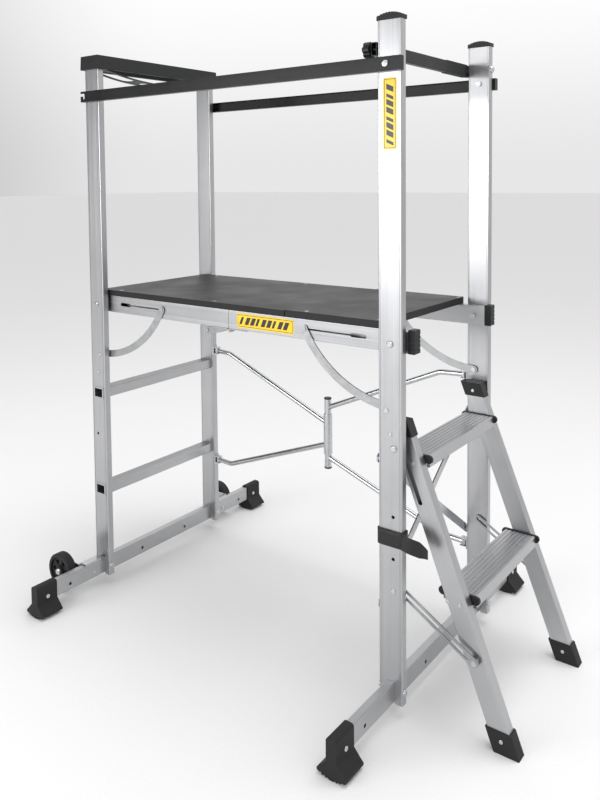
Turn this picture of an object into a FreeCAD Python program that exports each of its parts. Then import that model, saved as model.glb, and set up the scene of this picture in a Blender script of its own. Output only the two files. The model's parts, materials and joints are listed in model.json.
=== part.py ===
import FreeCAD, Part
import math
import os

V = FreeCAD.Vector
X_AXIS, Y_AXIS, Z_AXIS = V(1, 0, 0), V(0, 1, 0), V(0, 0, 1)

# Folding baker scaffold. Millimetres. Origin on the floor, midway between the four posts.
# +X points to the stair end, -Y is the front, +Z is up.

# ---- driving dimensions: the two end frames ----
POST_SPACING = 1000.0        # between post centres along the deck
FRAME_SPACING = 464.0        # between post centres across the deck
POST_WIDTH = 60.0            # along X
POST_DEPTH = 20.0            # along Y
POST_CORNER = 3.0
POST_WALL = 2.0
POST_GROOVE_WIDTH = 1.6
POST_GROOVE_DEPTH = 0.7
POST_GROOVE_INSET = 5.5      # from the wide face's edge
POST_BOTTOM = 32.0
POST_TOP = 1555.0
TUBE_CORNER = 2.0
POST_X = POST_SPACING / 2
POST_Y = FRAME_SPACING / 2
POST_OUTER_Y = POST_Y + POST_DEPTH / 2
POST_INNER_Y = POST_Y - POST_DEPTH / 2
POST_FACE_X = POST_X - POST_WIDTH / 2

POST_HOLE_RADIUS = 4.0
POST_HOLE_OFFSET = 7.0       # outwards from the post's middle
POST_HOLE_HEIGHTS = {-1: (459.0,), 1: (461.0, 365.0)}

BASE_WIDTH = 20.0            # base bar, along X
BASE_HEIGHT = 46.0
BASE_UNDERSIDE = 36.0
BASE_LENGTH = 2 * (POST_OUTER_Y + 236.0)
BASE_HOLE_RADIUS = 4.5
BASE_HOLE_HEIGHT = 54.0
BASE_HOLE_OFFSETS = (93.0, 367.0)
BASE_BOLT_HEIGHT = 60.0

FOOT_LENGTH = 66.0
FOOT_SOCKET_WALL = 3.0
FOOT_SOCKET_ROOF = 5.0
FOOT_END_WALL = 2.0
FOOT_BASE_WIDTH = 72.0
FOOT_SHOULDER = 38.0
FOOT_TIP = 9.0
FOOT_GROOVE_RADIUS = 2.5
FOOT_GROOVE_PITCH = 9.0
FOOT_RIVET_HEIGHT = 52.0

RUNG_HEIGHTS = {"lower": 290.0, "upper": 583.0}
RUNG_HEIGHT = 30.0
RUNG_DEPTH = 38.0
RUNG_WALL = 2.5
RUNG_LIP = 3.0               # the flared end stands this much round the hole

CAP_THICKNESS = 16.0
CAP_EDGE = 9.0
CAP_GROOVE_DEPTH = 2.5
CAP_GROOVE_WIDTH = 3.0
CAP_OVERHANG = 1.5
CAP_RIBS = 8

# ---- tool tray ----
TRAY_LENGTH = 2 * (POST_OUTER_Y + 8.0)
TRAY_WIDTH = 80.0
TRAY_TOP_WIDTH = 74.0
TRAY_UNDERSIDE = POST_TOP - 17.0
TRAY_HEIGHT = 39.0
TRAY_WALL = 3.0
TRAY_POCKET_DEPTH = 12.0
TRAY_SAG = 26.0
TRAY_HOLE_LENGTH = 112.0
TRAY_HOLE_WIDTH = 46.0
TRAY_HOLES = 3

# ---- wheels ----
WHEEL_RADIUS = 50.0
WHEEL_WIDTH = 28.0
WHEEL_CENTRE_HEIGHT = 62.0
WHEEL_OFFSET = 64.0          # wheel centre beyond the post centre
WHEEL_INNER_Y = POST_OUTER_Y + 82.0
AXLE_RADIUS = 5.0
WHEEL_SPOKES = 6
BRACKET_THICKNESS = 4.0
BRACKET_LENGTH = 60.0
BRACKET_START_Y = POST_OUTER_Y + 10.0
BRACKET_RIVET_Y = BRACKET_START_Y + BRACKET_LENGTH / 2
BRACKET_EYE_RADIUS = 22.0

# ---- folding deck ----
DECK_PIVOT_HEIGHT = 849.0
RAIL_HEIGHT = 50.0
RAIL_DEPTH = 22.0
RAIL_WALL = 2.0
RAIL_OUTER_Y = POST_INNER_Y - 6.0
RAIL_END = POST_X + 31.0             # end of the aluminium, from the middle of the deck
RAIL_MIDDLE_GAP = 1.0
END_CAP_LENGTH = 18.0
END_CAP_RISE = 4.0
BOARD_WIDTH = 2 * (POST_INNER_Y - 2.0)
BOARD_THICKNESS = {"left": 16.0, "right": 17.5}
BOARD_LEFT_END = -POST_X - 2.0
BOARD_SEAM = 188.0
BOARD_RIGHT_END = POST_X - 40.0
SEAM_GAP = 0.8
SCREW_ROW_Y = RAIL_OUTER_Y - 11.0
SCREW_X = {"left": (69.0 - POST_X, -59.0), "right": (246.0, POST_X - 48.0)}
SLOT_HEIGHT = 4.0
SLOT_START = POST_X - 250.0
SLOT_END = POST_X - 82.0
KEYHOLE_LENGTH = 34.0
KEYHOLE_HEIGHT = 10.0
SLOT_LEVEL = DECK_PIVOT_HEIGHT + 3.0
HINGE_PIN_HEIGHT = DECK_PIVOT_HEIGHT - 29.0
HINGE_PIN_RADIUS = 2.5
HINGE_KNUCKLE_RADIUS = 4.8
HINGE_LEAF_LENGTH = 60.0
HINGE_LEAF_THICKNESS = 2.5

# ---- curved deck stays ----
STAY_WIDTH = 20.0
STAY_THICKNESS = 3.0
STAY_INNER_Y = RAIL_OUTER_Y + 1.0
STAY_RIVET = (POST_X - 10.0, DECK_PIVOT_HEIGHT - 150.0)
STAY_PIN = (POST_X - 252.0, SLOT_LEVEL)
STAY_ELBOW = (POST_X - 170.0, DECK_PIVOT_HEIGHT - 137.0)  # the point that the stay's curve bends towards

# ---- rear gate brace ----
GATE_PIN_X = POST_X - 43.0
GATE_LINE_Y = POST_Y
GATE_ARM_RADIUS = 8.0
GATE_BEND_RADIUS = 45.0
GATE_EYE_CLEARANCE = 1.0
GATE_CENTRE_OFFSET = 3.0     # the middle stands this far behind the line of the pins
GATE_TUBE_RADIUS = 10.5
GATE_TUBE_SPAN = (322.0, 535.0)
GATE_SLEEVE_RADIUS = 13.5
GATE_SLEEVE_SPAN = (363.0, 488.0)
GATE_CAP_THICKNESS = 4.0
GATE_LEFT_ARMS = ((630.0, 626.0, 463.0), (249.0, 246.0, 390.0))
GATE_LEFT_BEND_X = 57.0 - GATE_PIN_X
GATE_RIGHT_ARMS = ((679.0, 675.0, 508.0), (212.0, 215.0, 354.0))
GATE_RIGHT_BEND_X = GATE_PIN_X - 73.0
BRACKET_EAR_GAP = 18.0
BRACKET_EAR = 2.5
BRACKET_PLATE = 3.0
BRACKET_WIDTH = 18.0
GATE_PIN_RADIUS = 3.0

# ---- end frame braces, guard rails and gate bar ----
BRACE_WIDTH = 20.0
BRACE_THICKNESS = 3.0
BRACE_LEVELS = (250.0, DECK_PIVOT_HEIGHT - 264.0)
GUARD_LEVEL = POST_TOP - 96.0
GUARD_HEIGHT = 31.0
GUARD_DEPTH = 16.5
GUARD_WALL = 2.0
GUARD_GROOVE_OFFSET = 9.5
GUARD_GROOVE_DEPTH = 0.7
GUARD_STANDOFF = 1.5
GUARD_PLUG = 12.0            # length of the plug in the right end
GUARD_LEFT_END = -POST_X - 29.0
GUARD_RIGHT_END = POST_X + 36.0
HOOK_THROAT = 8.0
HOOK_RUN = 18.0
HOOK_DROP = 9.0
STUD_RADIUS = 4.5
STUD_X = -POST_X - 3.0
END_BAR_DEPTH = 15.0
END_BAR_HEIGHT = 30.0
END_BAR_LEVEL = POST_TOP - 59.0
END_BAR_GAP = CAP_OVERHANG + 0.7
END_BAR_OVERHANG = 10.0
END_BAR_SLEEVE_FROM = 102.0
END_BAR_SLEEVE_WALL = 1.2
KNOB_RADIUS = 18.0
KNOB_LENGTH = 18.0
KNOB_LOBES = 6

# ---- stair ----
STAIR_LEAN = 21.3            # degrees from upright
STAIR_PIN = (POST_X + 9.0, 616.0)
STILE_WIDTH = 46.0
STILE_DEPTH = 25.0
STILE_WALL = 2.0
STILE_INNER_Y = POST_INNER_Y - 14.0 - STILE_DEPTH
STILE_PIN_OFFSET = 9.0       # slot lies this far to the left of the stile's middle
STILE_TOP = STAIR_PIN[1] + 52.0
STILE_SLOT_TRAVEL = 130.0
STAIR_BUSH_RADIUS = 5.0
STILE_CAP_SKIRT = 30.0
STILE_CAP_ROOF = 5.0
STILE_CAP_WALL = 2.5
STAIR_FOOT_HEIGHT = 48.0
STAIR_FOOT_SOLE = 6.0
TREADS = {"lower": (POST_X + 98.0, 305.0), "upper": (POST_X - 16.0, 593.0)}
TREAD_DEPTH = 80.0
TREAD_HEIGHT = 28.0
TREAD_WALL = 2.2
TREAD_LIP = 14.0
TREAD_RIVETS = (26.0, 54.0)   # behind the tread's left edge
TREAD_GROOVES = 7
TREAD_PLATE = 6.0
TREAD_PLATE_HEIGHT = 17.0
TREAD_NOSE = 9.0
LINK_POST_PIN = (POST_X + 7.0, 291.0)
LINK_STILE_PIN = (POST_X + 190.0, 181.0)
LINK_WIDTH = 20.0
LINK_THICKNESS = 3.0
LINK_INNER_Y = POST_INNER_Y - 5.5
LINK_SLOT_HALF = 4.3
LINK_SLOT_END = 16.0         # nearest that the slot comes to the stile pin

# ---- fasteners, labels and strap ----
FIT = 0.1                    # running clearance on a radius
BOLT_RADIUS = 4.0
HEAD_RADIUS = 8.0
HEAD_HEIGHT = 4.0
RIVET_RADIUS = 3.0
RIVET_HEAD_RADIUS = 6.0
RIVET_HEAD_HEIGHT = 2.0
BLIND_RIVET_RADIUS = 5.0
BLIND_RIVET_HEIGHT = 647.0   # above the floor, on the right posts
LABEL_THICKNESS = 0.3
DECK_LABEL = (30.0, 214.0, DECK_PIVOT_HEIGHT - 16.0, DECK_PIVOT_HEIGHT + 21.0)
POST_LABEL = (POST_X - 16.0, POST_X + 18.0, 1276.0, 1431.0)
STRAP_SPAN = (394.0, 430.0)
STRAP_THICKNESS = 2.0
STRAP_TAIL = 63.0

# ---- places worked out from them ----
BASE_END = BASE_LENGTH / 2
FOOT_RIVET_Y = BASE_END - FOOT_LENGTH / 2
BASE_TOP = BASE_UNDERSIDE + BASE_HEIGHT
RAIL_BOTTOM = DECK_PIVOT_HEIGHT - RAIL_HEIGHT / 2 + 2.0
RAIL_TOP = RAIL_BOTTOM + RAIL_HEIGHT
RAIL_INNER_Y = RAIL_OUTER_Y - RAIL_DEPTH
STILE_OUTER_Y = STILE_INNER_Y + STILE_DEPTH


def box(x0, x1, y0, y1, z0, z1):
    """A block between two corners."""
    return Part.makeBox(x1 - x0, y1 - y0, z1 - z0, V(x0, y0, z0))


def rod(start, end, radius):
    """A round bar between two points."""
    run = V(*end) - V(*start)
    return Part.makeCylinder(radius, run.Length, V(*start), run)


def bent_rod(spots, radius, bend_radius):
    """A round bar through three points, bent in an arc at the middle one."""
    start, corner, end = spots
    back = (start - corner).normalize()
    ahead = (end - corner).normalize()
    half = back.getAngle(ahead) / 2
    reach = bend_radius / math.tan(half)
    inwards = (back + ahead).normalize()
    crown = corner + inwards * (bend_radius / math.sin(half) - bend_radius)
    bend_start = corner + back * reach
    bend_end = corner + ahead * reach
    path = Part.Wire([
        Part.makeLine(start, bend_start),
        Part.Arc(bend_start, crown, bend_end).toShape(),
        Part.makeLine(bend_end, end),
    ])
    section = Part.Wire([Part.makeCircle(radius, start, corner - start)])
    return path.makePipeShell([section], True, False)


def rod_y(x, z, y0, y1, radius):
    """A round bar across the deck."""
    return rod((x, min(y0, y1), z), (x, max(y0, y1), z), radius)


def rod_x(y, z, x0, x1, radius):
    """A round bar along the deck."""
    return rod((min(x0, x1), y, z), (max(x0, x1), y, z), radius)


def round_edges(shape, axis, radius):
    """Rounds the long straight edges that run along one axis."""
    edges = []
    for edge in shape.Edges:
        if not isinstance(edge.Curve, Part.Line):
            continue
        direction = edge.Curve.Direction
        if abs(direction.dot(axis)) > 0.999:
            edges.append(edge)
    return shape.makeFillet(radius, edges)


def tube(x0, x1, y0, y1, z0, z1, axis, wall, corner):
    """A rectangular tube, open at both ends of its axis."""
    outer = round_edges(box(x0, x1, y0, y1, z0, z1), axis, corner)
    inset = [0.0 if component else wall for component in (axis.x, axis.y, axis.z)]
    past = [1.0 if component else 0.0 for component in (axis.x, axis.y, axis.z)]
    grow = [inset[i] - past[i] for i in range(3)]
    inner = box(x0 + grow[0], x1 - grow[0], y0 + grow[1], y1 - grow[1], z0 + grow[2], z1 - grow[2])
    return outer.cut(inner)


def mirror_y(shape):
    """The same piece on the rear side."""
    return shape.mirror(V(0, 0, 0), Y_AXIS)


def mirror_x(shape):
    """The same piece on the other end."""
    return shape.mirror(V(0, 0, 0), X_AXIS)


def both_sides(shapes):
    """Front pieces with their rear copies."""
    return shapes + [mirror_y(shape) for shape in shapes]


def extrude_y(points, y0, y1):
    """A closed outline in the XZ plane, pushed from y0 to y1."""
    wire = Part.makePolygon([V(x, y0, z) for x, z in points + points[:1]])
    return Part.Face(wire).extrude(V(0, y1 - y0, 0))


def dome(centre, direction, radius, height):
    """A domed head standing on a flat face."""
    base = Part.makeCylinder(radius, height, V(*centre), V(*direction))
    rim = [edge for edge in base.Edges if isinstance(edge.Curve, Part.Circle)]
    along = V(*direction)
    top = max(rim, key=lambda edge: edge.CenterOfMass.dot(along))
    return base.makeFillet(height * 0.7, [top])


# ---------------------------------------------------------------- end frames

def post(end):
    """One front upright of an end frame; end is -1 at the left and 1 at the stair."""
    x = end * POST_X
    top = POST_TOP if end > 0 else TRAY_UNDERSIDE + TRAY_POCKET_DEPTH
    y0, y1 = -POST_OUTER_Y, -POST_INNER_Y
    half = POST_WIDTH / 2
    shape = tube(x - half, x + half, y0, y1, POST_BOTTOM, top, Z_AXIS, POST_WALL, POST_CORNER)
    bar = BASE_WIDTH / 2 + FIT
    cuts = [box(x - bar, x + bar, y0 - 1, y1 + 1, POST_BOTTOM - 1, BASE_TOP + FIT)]
    cuts.append(rod_x(-POST_Y, BASE_BOLT_HEIGHT, x - half - 1, x + half + 1, BOLT_RADIUS + FIT))
    cuts.append(rod_y(x, DECK_PIVOT_HEIGHT, y0 - 1, y1 + 1, BOLT_RADIUS + FIT))
    cuts.append(rod_y(end * STAY_RIVET[0], STAY_RIVET[1], y0 - 1, y1 + 1, RIVET_RADIUS + FIT))
    if end < 0:
        for level in RUNG_HEIGHTS.values():
            wide, tall = RUNG_DEPTH / 2 + FIT, RUNG_HEIGHT / 2 + FIT
            cuts.append(box(x - wide, x + wide, y0 - 1, y1 + 1, level - tall, level + tall))
    else:
        cuts.append(rod_y(x, GUARD_LEVEL, y0 - 1, y1 + 1, BOLT_RADIUS + FIT))
        cuts.append(rod_y(STAIR_PIN[0], STAIR_PIN[1], y0 - 1, y1 + 1, BOLT_RADIUS + FIT))
        cuts.append(rod_y(LINK_POST_PIN[0], LINK_POST_PIN[1], y0 - 1, y1 + 1, RIVET_RADIUS + FIT))
    for level in POST_HOLE_HEIGHTS[end]:
        cuts.append(rod_y(x + end * POST_HOLE_OFFSET, level, y0 - 1, y0 + POST_WALL + 1, POST_HOLE_RADIUS))
    for side in (-1, 1):
        groove_x = x + side * (half - POST_GROOVE_INSET)
        for face in (y0, y1):
            cuts.append(box(groove_x - POST_GROOVE_WIDTH / 2, groove_x + POST_GROOVE_WIDTH / 2,
                            face - POST_GROOVE_DEPTH, face + POST_GROOVE_DEPTH, POST_BOTTOM - 1, top + 1))
    for cut in cuts:
        shape = shape.cut(cut)
    return shape


def base_bar(end):
    """The bar on the floor that joins the two posts of an end frame."""
    x = end * POST_X
    half = BASE_WIDTH / 2
    shape = tube(x - half, x + half, -BASE_END, BASE_END, BASE_UNDERSIDE, BASE_TOP,
                 Y_AXIS, POST_WALL, TUBE_CORNER)
    holes = [(offset, BASE_HOLE_HEIGHT, BASE_HOLE_RADIUS) for offset in BASE_HOLE_OFFSETS]
    holes.append((POST_Y, BASE_BOLT_HEIGHT, BOLT_RADIUS + FIT))
    holes.append((FOOT_RIVET_Y, FOOT_RIVET_HEIGHT, RIVET_RADIUS + FIT))
    if end < 0:
        holes.append((BRACKET_RIVET_Y, FOOT_RIVET_HEIGHT, RIVET_RADIUS + FIT))
    for offset, level, radius in holes:
        for y in (-offset, offset):
            shape = shape.cut(rod_x(y, level, x - half - 1, x + half + 1, radius))
    return shape


def foot(end):
    """A front rubber foot: a socket over the bar's end on a wide rocker sole."""
    x = end * POST_X
    socket = BASE_WIDTH / 2 + FOOT_SOCKET_WALL
    roof = BASE_TOP + FOOT_SOCKET_ROOF
    y0 = -(BASE_END + FOOT_END_WALL)
    y1 = y0 + FOOT_LENGTH
    tip = FOOT_BASE_WIDTH / 2
    bevel = 7.0
    edges = []

    def corner(px, pz):
        return V(x + px, y0, pz)

    def line(a, b):
        edges.append(Part.LineSegment(a, b).toShape())

    def arc(a, middle, b):
        edges.append(Part.Arc(a, middle, b).toShape())

    sweep = (tip - socket) * 0.42
    drop = (FOOT_SHOULDER - FOOT_TIP - 5.0)
    arc(corner(-tip, FOOT_TIP), corner(0, 0), corner(tip, FOOT_TIP))
    line(corner(tip, FOOT_TIP), corner(tip, FOOT_TIP + 5.0))
    arc(corner(tip, FOOT_TIP + 5.0), corner(socket + sweep, FOOT_TIP + 5.0 + drop * 0.55),
        corner(socket, FOOT_SHOULDER))
    line(corner(socket, FOOT_SHOULDER), corner(socket, roof - bevel))
    arc(corner(socket, roof - bevel), corner(socket - bevel * 0.3, roof - bevel * 0.3),
        corner(socket - bevel, roof))
    line(corner(socket - bevel, roof), corner(bevel - socket, roof))
    arc(corner(bevel - socket, roof), corner(bevel * 0.3 - socket, roof - bevel * 0.3),
        corner(-socket, roof - bevel))
    line(corner(-socket, roof - bevel), corner(-socket, FOOT_SHOULDER))
    arc(corner(-socket, FOOT_SHOULDER), corner(-socket - sweep, FOOT_TIP + 5.0 + drop * 0.55),
        corner(-tip, FOOT_TIP + 5.0))
    line(corner(-tip, FOOT_TIP + 5.0), corner(-tip, FOOT_TIP))
    shape = Part.Face(Part.Wire(edges)).extrude(V(0, FOOT_LENGTH, 0))
    bar = BASE_WIDTH / 2
    shape = shape.cut(round_edges(box(x - bar, x + bar, -BASE_END, y1 + 5, BASE_UNDERSIDE, BASE_TOP),
                                  Y_AXIS, TUBE_CORNER))
    sole_radius = (tip * tip + FOOT_TIP * FOOT_TIP) / (2 * FOOT_TIP)
    for step in (-3, -2, -1, 1, 2, 3):
        turn = step * FOOT_GROOVE_PITCH / sole_radius
        px = x + sole_radius * math.sin(turn)
        pz = sole_radius * (1 - math.cos(turn))
        shape = shape.cut(rod_y(px, pz, y0 - 1, y1 + 1, FOOT_GROOVE_RADIUS))
    return shape.cut(rod_x(-FOOT_RIVET_Y, FOOT_RIVET_HEIGHT, x - FOOT_BASE_WIDTH / 2, x + FOOT_BASE_WIDTH / 2,
                           RIVET_RADIUS + FIT))


def rung(level):
    """A hollow climbing rung, set through both left posts with a flared lip at each end."""
    half, tall = RUNG_DEPTH / 2, RUNG_HEIGHT / 2
    x = -POST_X
    end = POST_OUTER_Y
    bar = tube(x - half, x + half, -end, end, level - tall, level + tall, Y_AXIS, RUNG_WALL, TUBE_CORNER)
    for step in range(-2, 3):
        groove_x = x + step * RUNG_DEPTH / 6
        groove = box(groove_x - 1, groove_x + 1, 4 - POST_INNER_Y, POST_INNER_Y - 4,
                     level + tall - 1, level + tall + 1)
        bar = bar.cut(groove)
    lips = []
    for side in (-1, 1):
        y0, y1 = sorted((side * end, side * (end + 1.2)))
        lip = box(x - half - RUNG_LIP, x + half + RUNG_LIP, y0, y1,
                  level - tall - RUNG_LIP, level + tall + RUNG_LIP)
        inner = box(x - half + RUNG_WALL, x + half - RUNG_WALL, y0 - 1, y1 + 1,
                    level - tall + RUNG_WALL, level + tall - RUNG_WALL)
        lips.append(round_edges(lip, Y_AXIS, RUNG_LIP).cut(inner))
    return bar.fuse(lips).removeSplitter()


def post_cap():
    """A front arched rubber cap on a right post, ribbed across its top."""
    half = POST_WIDTH / 2 + CAP_OVERHANG
    y0, y1 = -POST_OUTER_Y - CAP_OVERHANG, -POST_INNER_Y + CAP_OVERHANG
    foot, edge, crown = POST_TOP, POST_TOP + CAP_EDGE, POST_TOP + CAP_THICKNESS
    left, right = POST_X - half, POST_X + half
    arch = [Part.makeLine(V(left, y0, foot), V(right, y0, foot)),
            Part.makeLine(V(right, y0, foot), V(right, y0, edge)),
            Part.Arc(V(right, y0, edge), V(POST_X, y0, crown), V(left, y0, edge)).toShape(),
            Part.makeLine(V(left, y0, edge), V(left, y0, foot))]
    shape = Part.Face(Part.Wire(arch)).extrude(V(0, y1 - y0, 0))
    pitch = 2 * half / (CAP_RIBS + 1)
    for index in range(CAP_RIBS):
        px = left + pitch * (index + 1)
        surface = edge + (CAP_THICKNESS - CAP_EDGE) * (1 - ((px - POST_X) / half) ** 2)
        shape = shape.cut(box(px - CAP_GROOVE_WIDTH / 2, px + CAP_GROOVE_WIDTH / 2, y0 - 1, y1 + 1,
                              surface - CAP_GROOVE_DEPTH, crown + 1))
    return shape


def tool_tray():
    """The open tool tray that joins the tops of the left posts."""
    bottom, top = TRAY_UNDERSIDE, TRAY_UNDERSIDE + TRAY_HEIGHT
    half, half_top, long = TRAY_WIDTH / 2, TRAY_TOP_WIDTH / 2, TRAY_LENGTH / 2
    outline = [(-POST_X - half, bottom), (-POST_X + half, bottom),
               (-POST_X + half_top, top), (-POST_X - half_top, top)]
    body = extrude_y(outline, -long, long)
    floor = bottom + TRAY_POCKET_DEPTH + TRAY_WALL
    pan = box(-POST_X - half_top + TRAY_WALL, -POST_X + half_top - TRAY_WALL,
              -long + TRAY_WALL, long - TRAY_WALL, floor, top + 1)
    body = body.cut(round_edges(pan, Z_AXIS, 6.0))
    between = POST_INNER_Y - 6
    belly_radius = (between ** 2 + TRAY_SAG ** 2) / (2 * TRAY_SAG)
    belly_centre = bottom - TRAY_SAG + belly_radius
    dish_half = TRAY_WIDTH / 2 - 6
    disc = rod_x(0, belly_centre, -POST_X - dish_half, -POST_X + dish_half, belly_radius)
    inner = rod_x(0, belly_centre, -POST_X - dish_half - 1, -POST_X + dish_half + 1,
                  belly_radius - TRAY_WALL)
    well = box(-POST_X - dish_half - 0.5, -POST_X + dish_half + 0.5, -between, between,
               bottom - TRAY_SAG - 1, floor + 0.01)
    band = disc.cut(inner).common(well)
    hollow = box(-POST_X - dish_half + TRAY_WALL, -POST_X + dish_half - TRAY_WALL,
                 -between + 8, between - 8, bottom - 1, floor + 1)
    body = body.cut(hollow).fuse(band)
    pitch = 2 * between / TRAY_HOLES
    for index in range(TRAY_HOLES):
        middle = pitch * (index - (TRAY_HOLES - 1) / 2)
        straight = (TRAY_HOLE_LENGTH - TRAY_HOLE_WIDTH) / 2
        hole = box(-POST_X - TRAY_HOLE_WIDTH / 2, -POST_X + TRAY_HOLE_WIDTH / 2,
                   middle - straight, middle + straight, bottom - TRAY_SAG - 5, bottom + 5)
        for side in (-1, 1):
            end = Part.makeCylinder(TRAY_HOLE_WIDTH / 2, TRAY_SAG + 10,
                                    V(-POST_X, middle + side * straight, bottom - TRAY_SAG - 5))
            hole = hole.fuse(end)
        body = body.cut(hole)
    wide = POST_WIDTH / 2 + FIT
    for side in (-1, 1):
        y0, y1 = sorted((side * (POST_INNER_Y - FIT), side * (POST_OUTER_Y + FIT)))
        body = body.cut(box(-POST_X - wide, -POST_X + wide, y0, y1, bottom - 1,
                            bottom + TRAY_POCKET_DEPTH + FIT))
    return body.removeSplitter()


# ---------------------------------------------------------------- wheels

def wheel():
    """The front wheel: a moulded wheel with a tread, a hub and slotted spokes."""
    x = -POST_X - WHEEL_OFFSET
    z = WHEEL_CENTRE_HEIGHT
    y0 = -WHEEL_INNER_Y - WHEEL_WIDTH
    y1 = -WHEEL_INNER_Y
    body = rod_y(x, z, y0, y1, WHEEL_RADIUS)
    rims = [edge for edge in body.Edges if isinstance(edge.Curve, Part.Circle)]
    body = body.makeFillet(4.0, rims)
    for face, step in ((y0, 6.0), (y1, -6.0)):
        ring = rod_y(x, z, face - step, face + step, WHEEL_RADIUS - 11)
        body = body.cut(ring.cut(rod_y(x, z, face - step, face + step, 15.0)))
    for index in range(WHEEL_SPOKES):
        turn = 2 * math.pi * index / WHEEL_SPOKES
        px, pz = x + 26 * math.cos(turn), z + 26 * math.sin(turn)
        body = body.cut(rod_y(px, pz, y0 - 1, y1 + 1, 7.0))
    return body.cut(rod_y(x, z, y0 - 1, y1 + 1, AXLE_RADIUS + FIT))


def wheel_bracket():
    """The front wheel bracket: a saddle on the bar, and a tongue and eye that hold the axle."""
    x = -POST_X - BASE_WIDTH / 2
    thick = BRACKET_THICKNESS
    y1 = -BRACKET_START_Y
    y0 = y1 - BRACKET_LENGTH
    saddle = box(x - thick, x + BASE_WIDTH, y0, y1, BASE_TOP, BASE_TOP + thick)
    cheek = box(x - thick, x, y0, y1, BASE_UNDERSIDE + 4, BASE_TOP)
    tongue_y = -WHEEL_INNER_Y + 2.0
    centre_x = -POST_X - WHEEL_OFFSET
    tongue = box(centre_x, x, tongue_y, tongue_y + thick, BASE_UNDERSIDE + 8, BASE_TOP + thick)
    eye = rod_y(centre_x, WHEEL_CENTRE_HEIGHT, tongue_y, tongue_y + thick, BRACKET_EYE_RADIUS)
    web = box(x - thick, x, tongue_y, max(y0, tongue_y + thick), BASE_UNDERSIDE + 8, BASE_TOP + thick)
    shape = saddle.fuse([cheek, tongue, eye, web])
    axle_hole = rod_y(centre_x, WHEEL_CENTRE_HEIGHT, tongue_y - 1, tongue_y + thick + 1, AXLE_RADIUS + FIT)
    rivet_hole = rod_x(-BRACKET_RIVET_Y, FOOT_RIVET_HEIGHT, x - thick - 1, x + 1, RIVET_RADIUS + FIT)
    return shape.cut(axle_hole).cut(rivet_hole)


# ---------------------------------------------------------------- folding deck

def deck_rail(end):
    """The front rail of one half of the deck, with the slot that its stay pin rides in."""
    x0, x1 = RAIL_MIDDLE_GAP / 2, RAIL_END
    shape = tube(x0, x1, -RAIL_OUTER_Y, -RAIL_INNER_Y, RAIL_BOTTOM, RAIL_TOP, X_AXIS, RAIL_WALL,
                 TUBE_CORNER)
    shape = shape.cut(rod_y(POST_X, DECK_PIVOT_HEIGHT, -RAIL_OUTER_Y - 1, -RAIL_INNER_Y + 1,
                            BOLT_RADIUS + FIT))
    y0, y1 = -RAIL_OUTER_Y - 1, -RAIL_OUTER_Y + RAIL_WALL + 1
    narrow = SLOT_HEIGHT / 2
    wide = KEYHOLE_HEIGHT / 2
    slot = box(SLOT_START, SLOT_END - narrow, y0, y1, SLOT_LEVEL - narrow, SLOT_LEVEL + narrow)
    slot = slot.fuse([rod_y(SLOT_START, SLOT_LEVEL, y0, y1, narrow),
                      rod_y(SLOT_END - KEYHOLE_LENGTH, SLOT_LEVEL, y0, y1, wide),
                      rod_y(SLOT_END, SLOT_LEVEL, y0, y1, wide),
                      box(SLOT_END - KEYHOLE_LENGTH, SLOT_END, y0, y1,
                          SLOT_LEVEL - wide, SLOT_LEVEL + wide)])
    shape = shape.cut(slot)
    return shape if end > 0 else mirror_x(shape)


def deck_board(end):
    """One board of the deck; the left one runs on over the middle hinge."""
    half = BOARD_WIDTH / 2
    if end < 0:
        x0, x1 = BOARD_LEFT_END, BOARD_SEAM
        top = RAIL_TOP + BOARD_THICKNESS["left"]
    else:
        x0, x1 = BOARD_SEAM + SEAM_GAP, BOARD_RIGHT_END
        top = RAIL_TOP + BOARD_THICKNESS["right"]
    board = round_edges(box(x0, x1, -half, half, RAIL_TOP, top), Z_AXIS, 2.0)
    for screw_x in SCREW_X["left" if end < 0 else "right"]:
        for side in (-1, 1):
            sink = Part.makeCone(3.0, 6.1, 3.1, V(screw_x, side * SCREW_ROW_Y, top - 3.0))
            shank = Part.makeCylinder(3.0, 40.0, V(screw_x, side * SCREW_ROW_Y, RAIL_TOP - 1))
            board = board.cut(sink.fuse(shank))
    return board


def deck_screws(end):
    """The countersunk screws that hold a board to its two rails."""
    side_name = "left" if end < 0 else "right"
    top = RAIL_TOP + BOARD_THICKNESS[side_name]
    screws = []
    for screw_x in SCREW_X[side_name]:
        for side in (-1, 1):
            head = Part.makeCone(2.6, 5.6, 2.8, V(screw_x, side * SCREW_ROW_Y, top - 2.9))
            shank = Part.makeCylinder(2.6, top - 2.5 - RAIL_TOP, V(screw_x, side * SCREW_ROW_Y, RAIL_TOP))
            screws.append(head.fuse(shank).removeSplitter())
    return screws


def rail_end_caps(end):
    """The two ribbed plugs that close the outer ends of one deck half's rails."""
    x0, x1 = RAIL_END, RAIL_END + END_CAP_LENGTH
    cap = box(x0, x1, -RAIL_OUTER_Y - 0.8, -RAIL_INNER_Y + 1, RAIL_BOTTOM, RAIL_TOP + END_CAP_RISE)
    cap = round_edges(cap, Y_AXIS, 3.0)
    for step in range(4):
        level = RAIL_BOTTOM + 10 + step * 10.0
        for y in (-RAIL_OUTER_Y - 0.8, -RAIL_INNER_Y + 1):
            cap = cap.cut(box(x0 + 3, x1 + 1, y - 0.8, y + 0.8, level, level + 3))
        cap = cap.cut(box(x1 - 0.8, x1 + 1, -RAIL_OUTER_Y - 2, -RAIL_INNER_Y + 2, level, level + 3))
    inside = RAIL_WALL + FIT
    plug = box(x0 - 12, x0, -RAIL_OUTER_Y + inside, -RAIL_INNER_Y - inside,
               RAIL_BOTTOM + inside, RAIL_TOP - inside)
    cap = cap.fuse(plug).removeSplitter()
    caps = both_sides([cap])
    return caps if end > 0 else [mirror_x(piece) for piece in caps]


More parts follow.
